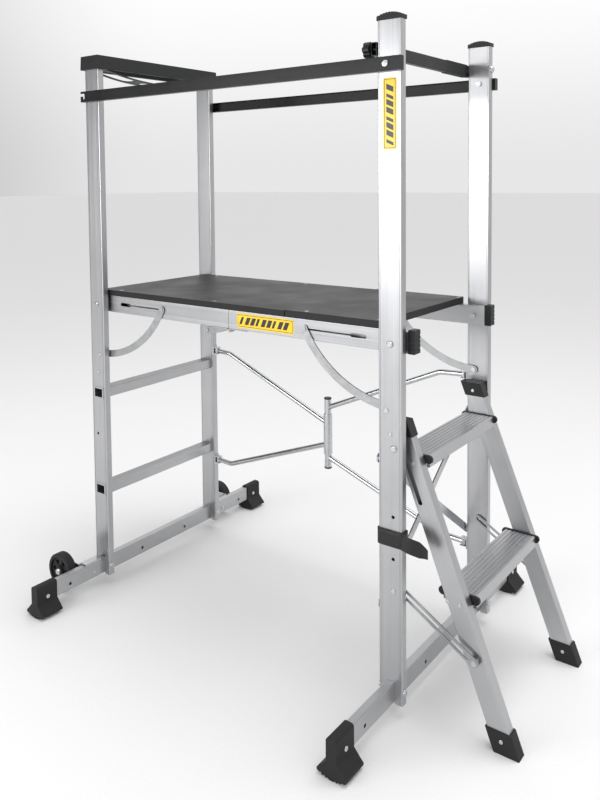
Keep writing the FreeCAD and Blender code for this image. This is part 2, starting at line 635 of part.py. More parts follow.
def deck_hinge(end):
    """The hinge leaves under the rails of one deck half; the left ones carry the pins."""
    pieces = []
    y_out, y_in = -RAIL_OUTER_Y + 1, -RAIL_INNER_Y - 1
    middle = (y_out + y_in) / 2
    top = RAIL_BOTTOM
    gap = HINGE_KNUCKLE_RADIUS + 0.6
    leaf = box(gap, HINGE_LEAF_LENGTH, y_out, y_in, top - HINGE_LEAF_THICKNESS, top)
    if end > 0:
        y0, y1 = y_out, middle - 0.2
    else:
        y0, y1 = middle + 0.2, y_in
    neck = box(0, gap + 0.5, y0, y1, top - HINGE_LEAF_THICKNESS, top)
    knuckle = rod_y(0, HINGE_PIN_HEIGHT, y0, y1, HINGE_KNUCKLE_RADIUS)
    keep = box(-10, 70, y0 - 30, y1 + 30, top - 20, top)
    neck = neck.common(box(0.2, 70, y0, y1, top - 20, top))
    shape = leaf.fuse([neck, knuckle.common(keep)])
    shape = shape.cut(rod_y(0, HINGE_PIN_HEIGHT, y0 - 30, y1 + 30, HINGE_PIN_RADIUS + FIT))
    shape = shape.removeSplitter()
    if end < 0:
        shape = mirror_x(shape)
        pin = rod_y(0, HINGE_PIN_HEIGHT, y_out - 0.5, y_in + 0.5, HINGE_PIN_RADIUS)
        pieces += both_sides([pin])
    pieces += both_sides([shape])
    return pieces


# ---------------------------------------------------------------- stays

def stay_bar(end):
    """A front curved flat stay from its post rivet to its pin on the deck rail, with the pin."""
    start = V(STAY_RIVET[0], -STAY_INNER_Y, STAY_RIVET[1])
    finish = V(STAY_PIN[0], -STAY_INNER_Y, STAY_PIN[1])
    elbow = V(STAY_ELBOW[0], -STAY_INNER_Y, STAY_ELBOW[1])
    middle = (start + finish) * 0.25 + elbow * 0.5
    spine = Part.Arc(start, middle, finish).toShape().Curve
    centre = spine.Center
    radius = spine.Radius
    half = STAY_WIDTH / 2
    ring = Part.makeCylinder(radius + half, STAY_THICKNESS, V(centre.x, -STAY_INNER_Y, centre.z), -Y_AXIS)
    hole = Part.makeCylinder(radius - half, STAY_THICKNESS, V(centre.x, -STAY_INNER_Y, centre.z), -Y_AXIS)
    ring = ring.cut(hole)
    out = 3000.0
    wedge_points = [(centre.x, centre.z)]
    for point in (start, finish):
        run = (point - centre).normalize() * out
        wedge_points.append((centre.x + run.x, centre.z + run.z))
    wedge = extrude_y(wedge_points, -STAY_INNER_Y - STAY_THICKNESS - 1, -STAY_INNER_Y + 1)
    bar = ring.common(wedge)
    y0, y1 = -STAY_INNER_Y - STAY_THICKNESS, -STAY_INNER_Y
    bar = bar.fuse([rod_y(start.x, start.z, y0, y1, half), rod_y(finish.x, finish.z, y0, y1, half)])
    bar = bar.cut(rod_y(start.x, start.z, y0 - 1, y1 + 1, RIVET_RADIUS + FIT))
    bar = bar.cut(rod_y(finish.x, finish.z, y0 - 1, y1 + 1, RIVET_RADIUS + FIT)).removeSplitter()
    pin = rod_y(finish.x, finish.z, y0, y1 + 0.6, RIVET_RADIUS)
    pin = pin.fuse(rod_y(finish.x, finish.z, y0 - 1.5, y0, RIVET_HEAD_RADIUS)).removeSplitter()
    pieces = [bar, pin]
    return pieces if end > 0 else [mirror_x(piece) for piece in pieces]


# ---------------------------------------------------------------- gate brace

def gate_y(x):
    """Where the brace's line stands at a given X; it bows back to the middle."""
    return GATE_LINE_Y + GATE_CENTRE_OFFSET * (1 - abs(x) / GATE_PIN_X)


def gate_arm(end, levels, bend_x, reach):
    """One round arm: level at the bracket, then sloping to the centre tube."""
    outer, bend, inner = levels
    points = [(end * GATE_PIN_X, outer), (bend_x, bend), (end * reach, inner)]
    spots = [V(px, gate_y(px), pz) for px, pz in points]
    eye_bottom = outer - BRACKET_EAR_GAP / 2 + GATE_EYE_CLEARANCE
    eye = Part.makeCylinder(GATE_ARM_RADIUS, BRACKET_EAR_GAP - 2 * GATE_EYE_CLEARANCE,
                            V(spots[0].x, spots[0].y, eye_bottom))
    arm = bent_rod(spots, GATE_ARM_RADIUS, GATE_BEND_RADIUS).fuse(eye)
    hole = Part.makeCylinder(GATE_PIN_RADIUS + FIT, BRACKET_EAR_GAP + 10,
                             V(spots[0].x, spots[0].y, outer - BRACKET_EAR_GAP / 2 - 5))
    return arm.cut(hole)


def gate_arms_left():
    """The left leaf of the brace: two arms on a sleeve that turns on the centre tube."""
    middle = gate_y(0)
    reach = GATE_SLEEVE_RADIUS - 3.0
    arms = [gate_arm(-1, levels, GATE_LEFT_BEND_X, reach) for levels in GATE_LEFT_ARMS]
    low, high = GATE_SLEEVE_SPAN
    sleeve = Part.makeCylinder(GATE_SLEEVE_RADIUS, high - low, V(0, middle, low))
    bore = Part.makeCylinder(GATE_TUBE_RADIUS + FIT, high - low + 2, V(0, middle, low - 1))
    return sleeve.fuse(arms).cut(bore).removeSplitter()


def gate_arms_right():
    """The right leaf of the brace: two arms welded to the ends of the centre tube."""
    middle = gate_y(0)
    arms = [gate_arm(1, levels, GATE_RIGHT_BEND_X, 0.0) for levels in GATE_RIGHT_ARMS]
    low, high = GATE_TUBE_SPAN
    core = Part.makeCylinder(GATE_TUBE_RADIUS, high - low, V(0, middle, low))
    solid = core.fuse(arms)
    guard = Part.makeCylinder(GATE_SLEEVE_RADIUS + 0.5, GATE_SLEEVE_SPAN[1] - GATE_SLEEVE_SPAN[0] + 1.0,
                              V(0, middle, GATE_SLEEVE_SPAN[0] - 0.5))
    guard = guard.cut(Part.makeCylinder(GATE_TUBE_RADIUS, 400.0, V(0, middle, 250.0)))
    bore = Part.makeCylinder(GATE_TUBE_RADIUS - 2.0, high - low + 2, V(0, middle, low - 1))
    return solid.cut(guard).cut(bore).removeSplitter()


def gate_caps():
    """The two black caps on the ends of the centre tube."""
    middle = gate_y(0)
    low, high = GATE_TUBE_SPAN
    caps = []
    for face, direction in ((low, -1), (high, 1)):
        disc = Part.makeCylinder(GATE_TUBE_RADIUS + 1.0, GATE_CAP_THICKNESS, V(0, middle, face),
                                 V(0, 0, direction))
        plug = Part.makeCylinder(GATE_TUBE_RADIUS - 2.0 - FIT, 8.0, V(0, middle, face), V(0, 0, -direction))
        caps.append(disc.fuse(plug).removeSplitter())
    return caps


def gate_brackets(end):
    """The two clevises that hold one leaf; the left pins pass through the arms' eyes."""
    pieces = []
    levels = GATE_LEFT_ARMS if end < 0 else GATE_RIGHT_ARMS
    gap = BRACKET_EAR_GAP / 2
    half = BRACKET_WIDTH / 2
    reach = POST_FACE_X - GATE_PIN_X + 8.0
    for outer, _, _ in levels:
        x0 = POST_FACE_X - reach
        parts = [box(POST_FACE_X - BRACKET_PLATE, POST_FACE_X, GATE_LINE_Y - half, GATE_LINE_Y + half,
                     outer - gap - 8, outer + gap + 8)]
        for low in (outer - gap - BRACKET_EAR, outer + gap):
            parts.append(box(x0, POST_FACE_X - 1, GATE_LINE_Y - half, GATE_LINE_Y + half,
                             low, low + BRACKET_EAR))
        clevis = parts[0].fuse(parts[1:]).removeSplitter()
        clevis = clevis.cut(Part.makeCylinder(GATE_PIN_RADIUS, 60.0, V(GATE_PIN_X, GATE_LINE_Y, outer - 30)))
        spans = [(-gap - BRACKET_EAR - 2, gap + BRACKET_EAR + 2)]
        if end > 0:
            spans = [(-gap - BRACKET_EAR - 2, -gap), (gap, gap + BRACKET_EAR + 2)]
        for low, high in spans:
            pin_foot = V(GATE_PIN_X, GATE_LINE_Y, outer + low)
            pieces.append(Part.makeCylinder(GATE_PIN_RADIUS, high - low, pin_foot))
        pieces.append(clevis)
    return pieces if end > 0 else [mirror_x(piece) for piece in pieces]


# ---------------------------------------------------------------- stair end frame

def cross_braces():
    """Two crossing flat bars on the inner faces of the right posts, with their spacers."""
    low, high = BRACE_LEVELS
    pieces = []
    for rise, layer in ((1, 0), (-1, 1)):
        front = low if rise > 0 else high
        rear = high if rise > 0 else low
        x1 = POST_FACE_X - layer * BRACE_THICKNESS
        x0 = x1 - BRACE_THICKNESS
        run = V(0, 2 * POST_Y, rear - front)
        tilt = math.degrees(math.atan2(rear - front, 2 * POST_Y))
        bar = box(x0, x1, 0, run.Length, -BRACE_WIDTH / 2, BRACE_WIDTH / 2)
        bar = bar.fuse([rod_x(0, 0, x0, x1, BRACE_WIDTH / 2), rod_x(run.Length, 0, x0, x1, BRACE_WIDTH / 2)])
        bar = bar.removeSplitter()
        bar.rotate(V(0, 0, 0), X_AXIS, tilt)
        bar.translate(V(0, -POST_Y, front))
        trim = box(x0 - 1, x1 + 1, -POST_OUTER_Y + 1, POST_OUTER_Y - 1, 0, 900)
        bar = bar.common(trim)
        for y, z in ((-POST_Y, front), (POST_Y, rear)):
            bar = bar.cut(rod_x(y, z, x0 - 1, x1 + 1, RIVET_RADIUS + FIT))
            if layer:
                washer = rod_x(y, z, x1, POST_FACE_X, 7.0)
                pieces.append(washer.cut(rod_x(y, z, x1 - 1, POST_FACE_X + 1, RIVET_RADIUS + FIT)))
        pieces.append(bar)
    return pieces


def guard_rail():
    """The front guard rail: a channel, open to the posts, with a hook slot at its free end."""
    outer = -POST_OUTER_Y - GUARD_STANDOFF - GUARD_DEPTH
    inner = -POST_OUTER_Y - GUARD_STANDOFF
    low, high = GUARD_LEVEL - GUARD_HEIGHT / 2, GUARD_LEVEL + GUARD_HEIGHT / 2
    x0, x1 = GUARD_LEFT_END, GUARD_RIGHT_END
    shape = round_edges(box(x0, x1, outer, inner, low, high), X_AXIS, 1.5)
    shape = shape.cut(box(x0 - 1, x1 + 1, outer + GUARD_WALL, inner + 1, low + GUARD_WALL, high - GUARD_WALL))
    plug = box(x1 - GUARD_PLUG, x1, outer + 1, inner, low + 1, high - 1)
    shape = shape.fuse(plug).removeSplitter()
    for side in (-1, 1):
        level = GUARD_LEVEL + side * GUARD_GROOVE_OFFSET
        shape = shape.cut(box(x0 - 1, x1 + 1, outer - 1, outer + GUARD_GROOVE_DEPTH, level - 1, level + 1))
    web0, web1 = outer - 1, outer + GUARD_WALL + 0.5
    level = GUARD_LEVEL + 5.0
    throat = HOOK_THROAT / 2
    run = box(x0 - 1, x0 + HOOK_RUN - throat, web0, web1, level - throat, level + throat)
    drop_x = x0 + HOOK_RUN - throat
    drop = box(drop_x - throat, drop_x + throat, web0, web1, level - HOOK_DROP, level)
    ends = [rod_y(drop_x, level, web0, web1, throat), rod_y(drop_x, level - HOOK_DROP, web0, web1, throat)]
    shape = shape.cut(run.fuse([drop] + ends))
    relief = STUD_X + STUD_RADIUS + 6.0
    shape = shape.cut(box(x0 - 1, relief, outer + GUARD_WALL, inner + 1, high - GUARD_WALL - 1, high + 1))
    return shape.cut(rod_y(POST_X, GUARD_LEVEL, outer - 1, outer + GUARD_WALL + 1, BOLT_RADIUS + FIT))


def end_bar():
    """The bar across the stair end; it lifts about the bolt in the rear post."""
    x0, x1 = POST_FACE_X - END_BAR_DEPTH - END_BAR_GAP, POST_FACE_X - END_BAR_GAP
    low, high = END_BAR_LEVEL - END_BAR_HEIGHT / 2, END_BAR_LEVEL + END_BAR_HEIGHT / 2
    end = POST_Y + END_BAR_OVERHANG - 1
    bar = tube(x0, x1, -end, end, low, high, Y_AXIS, POST_WALL, TUBE_CORNER)
    for side in (-1, 1):
        bar = bar.cut(rod_x(side * POST_Y, END_BAR_LEVEL, x0 - 1, x1 + 1, BOLT_RADIUS + FIT))
    return bar


def end_bar_sleeve():
    """The slip-on sleeve round the rear half of the end bar."""
    x0, x1 = POST_FACE_X - END_BAR_DEPTH - END_BAR_GAP, POST_FACE_X - END_BAR_GAP
    half = END_BAR_HEIGHT / 2
    wall = END_BAR_SLEEVE_WALL
    y0, y1 = END_BAR_SLEEVE_FROM, POST_INNER_Y - 1
    outer = box(x0 - wall, x1, y0, y1, END_BAR_LEVEL - half - wall, END_BAR_LEVEL + half + wall)
    outer = round_edges(outer, Y_AXIS, 1.0)
    core = round_edges(box(x0, x1, y0 - 1, y1 + 1, END_BAR_LEVEL - half, END_BAR_LEVEL + half), Y_AXIS,
                       TUBE_CORNER)
    return outer.cut(core).cut(box(x1 - 0.3, x1 + 1, y0 - 1, y1 + 1, 1400, 1600))


def end_bar_knob():
    """The hand knob that clamps the end bar's free end to the front post."""
    x1 = POST_FACE_X - END_BAR_DEPTH - END_BAR_GAP
    x0 = x1 - KNOB_LENGTH
    y, z = -POST_Y, END_BAR_LEVEL
    body = rod_x(y, z, x0, x1 - 2.0, KNOB_RADIUS)
    for index in range(KNOB_LOBES):
        turn = 2 * math.pi * (index + 0.5) / KNOB_LOBES
        groove_y = y + (KNOB_RADIUS + 3) * math.cos(turn)
        groove_z = z + (KNOB_RADIUS + 3) * math.sin(turn)
        body = body.cut(rod_x(groove_y, groove_z, x0 - 1, x1, 6.0))
    collar = rod_x(y, z, x1 - 2.2, x1, 10.0)
    stem = rod_x(y, z, x1 - 1, POST_FACE_X - 0.2, BOLT_RADIUS)
    return body.fuse([collar, stem]).removeSplitter()


# ---------------------------------------------------------------- stair

def lean(shape):
    """Leans an upright stair piece about the slot pins."""
    shape.rotate(V(STAIR_PIN[0], 0, STAIR_PIN[1]), Y_AXIS, -STAIR_LEAN)
    return shape


def stile_edges(grow):
    """Left and right faces of the upright stile, grown outwards."""
    middle = STAIR_PIN[0] + STILE_PIN_OFFSET
    half = STILE_WIDTH / 2 + grow
    return middle - half, middle + half


def leaning_block(grow, y0, y1):
    """A long leaning block with the stile's section."""
    x0, x1 = stile_edges(grow)
    block = round_edges(box(x0, x1, y0, y1, STAIR_PIN[1] - 760, STAIR_PIN[1] + 160), Z_AXIS, TUBE_CORNER)
    return lean(block)


def level_slab(z0, z1):
    """A wide level slab, used to cut leaning pieces at a height."""
    return box(200, 1100, -400, 400, z0, z1)


def stile():
    """The front side rail of the stair, with its slot in the outer face."""
    x0, x1 = stile_edges(0.0)
    z0, z1 = STAIR_PIN[1] - 760, STAIR_PIN[1] + 160
    y0, y1 = -STILE_OUTER_Y, -STILE_INNER_Y
    shape = tube(x0, x1, y0, y1, z0, z1, Z_AXIS, STILE_WALL, TUBE_CORNER)
    radius = STAIR_BUSH_RADIUS + FIT
    px, pz = STAIR_PIN
    low = pz - STILE_SLOT_TRAVEL - 1.0
    slot = box(px - radius, px + radius, y0 - 1, y0 + STILE_WALL + 0.5, low, pz + 1)
    slot = slot.fuse([rod_y(px, z, y0 - 1, y0 + STILE_WALL + 0.5, radius) for z in (low, pz + 1)])
    shape = lean(shape.cut(slot))
    shape = shape.cut(rod_y(LINK_STILE_PIN[0], LINK_STILE_PIN[1], y0 - 1, y0 + STILE_WALL + 1,
                            RIVET_RADIUS + FIT))
    return shape.common(level_slab(STAIR_FOOT_SOLE, STILE_TOP))


def stile_cap():
    """The front stile's level-topped cap."""
    y0, y1 = -STILE_OUTER_Y - STILE_CAP_WALL, -STILE_INNER_Y + STILE_CAP_WALL
    cap = leaning_block(STILE_CAP_WALL, y0, y1)
    cap = cap.common(level_slab(STILE_TOP - STILE_CAP_SKIRT, STILE_TOP + STILE_CAP_ROOF))
    core = leaning_block(FIT, -STILE_OUTER_Y - FIT, -STILE_INNER_Y + FIT)
    return cap.cut(core.common(level_slab(0, STILE_TOP + FIT)))


def stair_foot():
    """The front stile's rubber foot, flat on the floor."""
    y0, y1 = -STILE_OUTER_Y - STILE_CAP_WALL, -STILE_INNER_Y + STILE_CAP_WALL
    shoe = leaning_block(4.0, y0, y1).common(level_slab(0, STAIR_FOOT_HEIGHT))
    core = leaning_block(FIT, -STILE_OUTER_Y - FIT, -STILE_INNER_Y + FIT)
    shoe = shoe.cut(core.common(level_slab(STAIR_FOOT_SOLE, 200)))
    return shoe


def tread(x0, top):
    """A grooved step with a hollow section and turned-down edges."""
    half = STILE_INNER_Y - TREAD_PLATE - 0.2
    x1 = x0 + TREAD_DEPTH
    body = box(x0, x1, -half, half, top - TREAD_HEIGHT, top)
    body = round_edges(body, Y_AXIS, 3.0)
    hollow = box(x0 + TREAD_WALL, x1 - TREAD_WALL, -half - 1, half + 1, top - TREAD_HEIGHT + TREAD_WALL,
                 top - TREAD_WALL)
    body = body.cut(hollow)
    underside = top - TREAD_HEIGHT
    mouth = box(x0 + TREAD_LIP, x1 - TREAD_LIP, -half - 1, half + 1,
                underside - 1, underside + TREAD_WALL + 1)
    body = body.cut(mouth)
    pitch = TREAD_DEPTH / (TREAD_GROOVES + 1)
    for index in range(TREAD_GROOVES):
        groove = x0 + pitch * (index + 1)
        body = body.cut(box(groove - 1.5, groove + 1.5, -half - 1, half + 1, top - 0.9, top + 1))
    return body


def tread_plates():
    """The black end plates between each tread and the stiles."""
    plates = []
    for x0, top in TREADS.values():
        left, right = x0 - TREAD_NOSE, x0 + TREAD_DEPTH + TREAD_NOSE
        low = top - TREAD_PLATE_HEIGHT
        plate = box(left, right, -STILE_INNER_Y, -STILE_INNER_Y + TREAD_PLATE, low, top + 1.5)
        plates.append(round_edges(plate, Y_AXIS, 9.0))
    return both_sides(plates)


def stair_rivets():
    """Rivets through the caps, tread plates, feet and links of the stair."""
    rivets = []
    for x0, top in TREADS.values():
        for offset in TREAD_RIVETS:
            place = (x0 + offset, -STILE_OUTER_Y, top - TREAD_HEIGHT / 2)
            rivets.append(dome(place, (0, -1, 0), BLIND_RIVET_RADIUS, RIVET_HEAD_HEIGHT))
    slope = math.tan(math.radians(STAIR_LEAN))
    middle = STAIR_PIN[0] + STILE_PIN_OFFSET * math.cos(math.radians(STAIR_LEAN))
    datum = STAIR_PIN[1] + STILE_PIN_OFFSET * math.sin(math.radians(STAIR_LEAN))
    for level in (STILE_TOP - 16.0, 28.0):
        px = middle + slope * (datum - level)
        rivets.append(dome((px, -STILE_OUTER_Y - STILE_CAP_WALL, level), (0, -1, 0), 4.5, 1.8))
        rivets.append(dome((px, -STILE_INNER_Y + STILE_CAP_WALL, level), (0, 1, 0), 4.5, 1.8))
    px, pz = LINK_STILE_PIN
    spacer = rod_y(px, pz, -LINK_INNER_Y + 0.1, -STILE_OUTER_Y, 6.0)
    shank = rod_y(px, pz, -LINK_INNER_Y - LINK_THICKNESS, -LINK_INNER_Y + 0.1, RIVET_RADIUS)
    outer = -LINK_INNER_Y - LINK_THICKNESS
    head = rod_y(px, pz, outer - 1.8, outer - 0.1, RIVET_HEAD_RADIUS)
    neck = rod_y(px, pz, -LINK_INNER_Y - LINK_THICKNESS - 0.2, -LINK_INNER_Y - LINK_THICKNESS, RIVET_RADIUS)
    rivets.append(spacer.fuse([shank, neck, head]).removeSplitter())
    return both_sides(rivets)


def stair_bushes():
    """The headed bushes on the right posts that ride in the stiles' slots."""
    px, pz = STAIR_PIN
    barrel = rod_y(px, pz, -POST_INNER_Y + 0.2, -STILE_OUTER_Y + 4.5, STAIR_BUSH_RADIUS)
    flange = rod_y(px, pz, -STILE_OUTER_Y + 2.4, -STILE_OUTER_Y + 4.8, STAIR_BUSH_RADIUS + 3.0)
    return both_sides([barrel.fuse(flange).removeSplitter()])


def stair_links():
    """The slotted bars that hold the stair at its lean."""
    post_pin = V(LINK_POST_PIN[0], 0, LINK_POST_PIN[1])
    stile_pin = V(LINK_STILE_PIN[0], 0, LINK_STILE_PIN[1])
    run = post_pin - stile_pin
    reach = run.Length + 2.0
    half = LINK_WIDTH / 2
    y0, y1 = -LINK_INNER_Y - LINK_THICKNESS, -LINK_INNER_Y
    bar = box(0, reach, y0, y1, -half, half).fuse([rod_y(0, 0, y0, y1, half), rod_y(reach, 0, y0, y1, half)])
    slot_half = LINK_SLOT_HALF
    slot = box(LINK_SLOT_END, reach, y0 - 1, y1 + 1, -slot_half, slot_half)
    slot = slot.fuse([rod_y(slot_x, 0, y0 - 1, y1 + 1, slot_half) for slot_x in (LINK_SLOT_END, reach)])
    bar = bar.cut(slot).cut(rod_y(0, 0, y0 - 1, y1 + 1, RIVET_RADIUS + FIT)).removeSplitter()
    bar.rotate(V(0, 0, 0), Y_AXIS, -math.degrees(math.atan2(run.z, run.x)))
    bar.translate(stile_pin)
    return both_sides([bar])


# ---------------------------------------------------------------- fasteners, labels, strap

def cross_bolt(x, z, radius, head_radius, head, inner_y, collar=0.0):
    """A front bolt along Y: a domed head outside the post and a shank to inner_y."""
    shank = rod_y(x, z, -POST_OUTER_Y, inner_y, radius)
    cap = dome((x, -POST_OUTER_Y - collar, z), (0, -1, 0), head_radius, head)
    parts = [cap]
    if collar:
        parts.append(rod_y(x, z, -POST_OUTER_Y - collar, -POST_OUTER_Y, radius))
    return shank.fuse(parts).removeSplitter()


def rivet_x(y, z, x0, x1):
    """A rivet along X with a domed head on both faces."""
    shank = rod_x(y, z, x0, x1, RIVET_RADIUS)
    heads = [dome((x1, y, z), (1, 0, 0), RIVET_HEAD_RADIUS, RIVET_HEAD_HEIGHT),
             dome((x0, y, z), (-1, 0, 0), RIVET_HEAD_RADIUS, RIVET_HEAD_HEIGHT)]
    return shank.fuse(heads).removeSplitter()


def base_bolts(end):
    """The bolts along X that hold an end frame's base bar, feet and wheel brackets."""
    pieces = []
    x = end * POST_X
    half = POST_WIDTH / 2
    y, z = -POST_Y, BASE_BOLT_HEIGHT
    bolt = rod_x(y, z, x - half, x + half, BOLT_RADIUS)
    bolt = bolt.fuse([dome((x + half, y, z), (1, 0, 0), HEAD_RADIUS, HEAD_HEIGHT),
                      dome((x - half, y, z), (-1, 0, 0), HEAD_RADIUS, HEAD_HEIGHT)])
    pieces.append(bolt.removeSplitter())
    half = BASE_WIDTH / 2 + FOOT_SOCKET_WALL
    pieces.append(rivet_x(-FOOT_RIVET_Y, FOOT_RIVET_HEIGHT, x - half, x + half))
    return pieces


def left_bolts():
    """All the fasteners of the left frame."""
    pieces = base_bolts(-1)
    x0, x1 = -POST_X - BASE_WIDTH / 2 - BRACKET_THICKNESS, -POST_X + BASE_WIDTH / 2
    pieces.append(rivet_x(-BRACKET_RIVET_Y, FOOT_RIVET_HEIGHT, x0, x1))
    pieces += deck_fasteners(-1)
    stud_end = -POST_OUTER_Y - GUARD_STANDOFF - GUARD_DEPTH + GUARD_WALL + 0.6
    pieces.append(rod_y(STUD_X, GUARD_LEVEL - 1.0, stud_end, -POST_OUTER_Y, STUD_RADIUS))
    centre = (-POST_X - WHEEL_OFFSET, WHEEL_CENTRE_HEIGHT)
    ear = -WHEEL_INNER_Y + 2.0
    face = -WHEEL_INNER_Y - WHEEL_WIDTH
    axle = rod_y(centre[0], centre[1], face - 0.4, ear + BRACKET_THICKNESS, AXLE_RADIUS)
    washer = rod_y(centre[0], centre[1], -WHEEL_INNER_Y + 0.3, ear, 9.0)
    nut = rod_y(centre[0], centre[1], ear + BRACKET_THICKNESS, ear + BRACKET_THICKNESS + 5, 8.5)
    head = dome((centre[0], face - 0.4, centre[1]), (0, -1, 0), 10.0, 6.0)
    pieces.append(axle.fuse([washer, nut, head]).removeSplitter())
    return both_sides(pieces)


def deck_fasteners(end):
    """The deck pivots, stay rivets and spare studs on one end's posts."""
    pieces = []
    inner = -RAIL_INNER_Y + 5.4
    pivot = cross_bolt(POST_X, DECK_PIVOT_HEIGHT, BOLT_RADIUS, HEAD_RADIUS, HEAD_HEIGHT, inner)
    nut = rod_y(POST_X, DECK_PIVOT_HEIGHT, -RAIL_INNER_Y + 0.4, inner, 7.0)
    washer = rod_y(POST_X, DECK_PIVOT_HEIGHT, -POST_INNER_Y, -RAIL_OUTER_Y - 0.4, 9.0)
    pieces.append(pivot.fuse([nut, washer]).removeSplitter())
    x, z = STAY_RIVET
    rivet = cross_bolt(x, z, RIVET_RADIUS, RIVET_HEAD_RADIUS, RIVET_HEAD_HEIGHT, -STAY_INNER_Y + 0.3)
    head = rod_y(x, z, -STAY_INNER_Y + 0.3, -STAY_INNER_Y + 2.0, RIVET_HEAD_RADIUS)
    washer = rod_y(x, z, -POST_INNER_Y, -STAY_INNER_Y - STAY_THICKNESS - 0.4, RIVET_HEAD_RADIUS)
    pieces.append(rivet.fuse([head, washer]).removeSplitter())
    place = (POST_X, -POST_OUTER_Y, BLIND_RIVET_HEIGHT)
    pieces.append(dome(place, (0, -1, 0), BLIND_RIVET_RADIUS, RIVET_HEAD_HEIGHT))
    return pieces if end > 0 else [mirror_x(piece) for piece in pieces]


def right_bolts():
    """All the fasteners of the stair end frame."""
    pieces = base_bolts(1)
    pieces += deck_fasteners(1)
    x, z = STAIR_PIN
    pieces.append(cross_bolt(x, z, BOLT_RADIUS, HEAD_RADIUS, HEAD_HEIGHT, -POST_INNER_Y))
    x, z = LINK_POST_PIN
    pieces.append(cross_bolt(x, z, RIVET_RADIUS, RIVET_HEAD_RADIUS, RIVET_HEAD_HEIGHT, -POST_INNER_Y + 1.0))
    collar = GUARD_STANDOFF + GUARD_DEPTH + 0.3
    bolt = cross_bolt(POST_X, GUARD_LEVEL, BOLT_RADIUS, HEAD_RADIUS, HEAD_HEIGHT, -POST_INNER_Y, collar)
    spacer_end = -POST_OUTER_Y - GUARD_STANDOFF - GUARD_DEPTH + GUARD_WALL + 0.3
    spacer = rod_y(POST_X, GUARD_LEVEL, spacer_end, -POST_OUTER_Y, 8.0)
    nut = rod_y(POST_X, GUARD_LEVEL, -POST_INNER_Y, -POST_INNER_Y + 5, 7.0)
    pieces.append(bolt.fuse([spacer, nut]).removeSplitter())
    low, high = BRACE_LEVELS
    for level, layer in ((low, 1), (high, 2)):
        face = POST_FACE_X - layer * BRACE_THICKNESS
        head = dome((face, -POST_Y, level), (-1, 0, 0), RIVET_HEAD_RADIUS, RIVET_HEAD_HEIGHT)
        shank = rod_x(-POST_Y, level, face, POST_FACE_X, RIVET_RADIUS)
        pieces.append(head.fuse(shank).removeSplitter())
    pieces = both_sides(pieces)
    pieces = [piece for piece in pieces
              if piece.BoundBox.XMax > POST_FACE_X + 1 or piece.BoundBox.YMin < 0]
    for level, layer in ((high, 1), (low, 2)):
        face = POST_FACE_X - layer * BRACE_THICKNESS
        head = dome((face, POST_Y, level), (-1, 0, 0), RIVET_HEAD_RADIUS, RIVET_HEAD_HEIGHT)
        shank = rod_x(POST_Y, level, face, POST_FACE_X, RIVET_RADIUS)
        pieces.append(head.fuse(shank).removeSplitter())
    x0 = POST_FACE_X - END_BAR_DEPTH - END_BAR_GAP - END_BAR_SLEEVE_WALL
    hinge = rod_x(POST_Y, END_BAR_LEVEL, x0 - 0.3, POST_FACE_X, BOLT_RADIUS)
    head = dome((x0 - 0.3, POST_Y, END_BAR_LEVEL), (-1, 0, 0), HEAD_RADIUS, HEAD_HEIGHT)
    nut = dome((POST_X + POST_WIDTH / 2, POST_Y, END_BAR_LEVEL), (1, 0, 0), HEAD_RADIUS + 1, 7.0)
    washer = rod_x(POST_Y, END_BAR_LEVEL, POST_FACE_X - END_BAR_GAP + 0.2, POST_FACE_X, HEAD_RADIUS)
    pieces.append(hinge.fuse([head, washer]).removeSplitter())
    pieces.append(nut)
    return pieces


def deck_label():
    """A blank information label on the front of the right deck rail."""
    x0, x1, z0, z1 = DECK_LABEL
    plate = box(x0, x1, -RAIL_OUTER_Y - LABEL_THICKNESS, -RAIL_OUTER_Y, z0, z1)
    return round_edges(plate, Y_AXIS, 6.0)


def post_label():
    """A blank information label on the front right post."""
    x0, x1, z0, z1 = POST_LABEL
    plate = box(x0, x1, -POST_OUTER_Y - LABEL_THICKNESS, -POST_OUTER_Y, z0, z1)
    return round_edges(plate, Y_AXIS, 5.0)


def post_strap():
    """The webbing strap round the front right post, with its free tail."""
    z0, z1 = STRAP_SPAN
    t = STRAP_THICKNESS
    half = POST_WIDTH / 2
    outer = box(POST_X - half - t, POST_X + half + t, -POST_OUTER_Y - t, -POST_INNER_Y + t, z0, z1)
    outer = round_edges(outer, Z_AXIS, POST_CORNER + t)
    inner = box(POST_X - half, POST_X + half, -POST_OUTER_Y, -POST_INNER_Y, z0 - 1, z1 + 1)
    loop = outer.cut(round_edges(inner, Z_AXIS, POST_CORNER))
    x0 = POST_X + half - 6
    y0 = -POST_OUTER_Y - t
    tail_mid, tail_end = x0 + STRAP_TAIL * 0.5, x0 + STRAP_TAIL + 6
    outline = [(x0, y0 + t / 2), (tail_mid, y0 - 6), (tail_end, y0 - 1), (tail_end, y0 - 1 - t),
               (tail_mid, y0 - 6 - t), (x0, y0 - t)]
    wire = Part.makePolygon([V(px, py, z0) for px, py in outline + outline[:1]])
    tail = Part.Face(wire).extrude(V(0, 0, z1 - z0))
    return [loop.fuse(tail).removeSplitter()]


# ---------------------------------------------------------------- every node

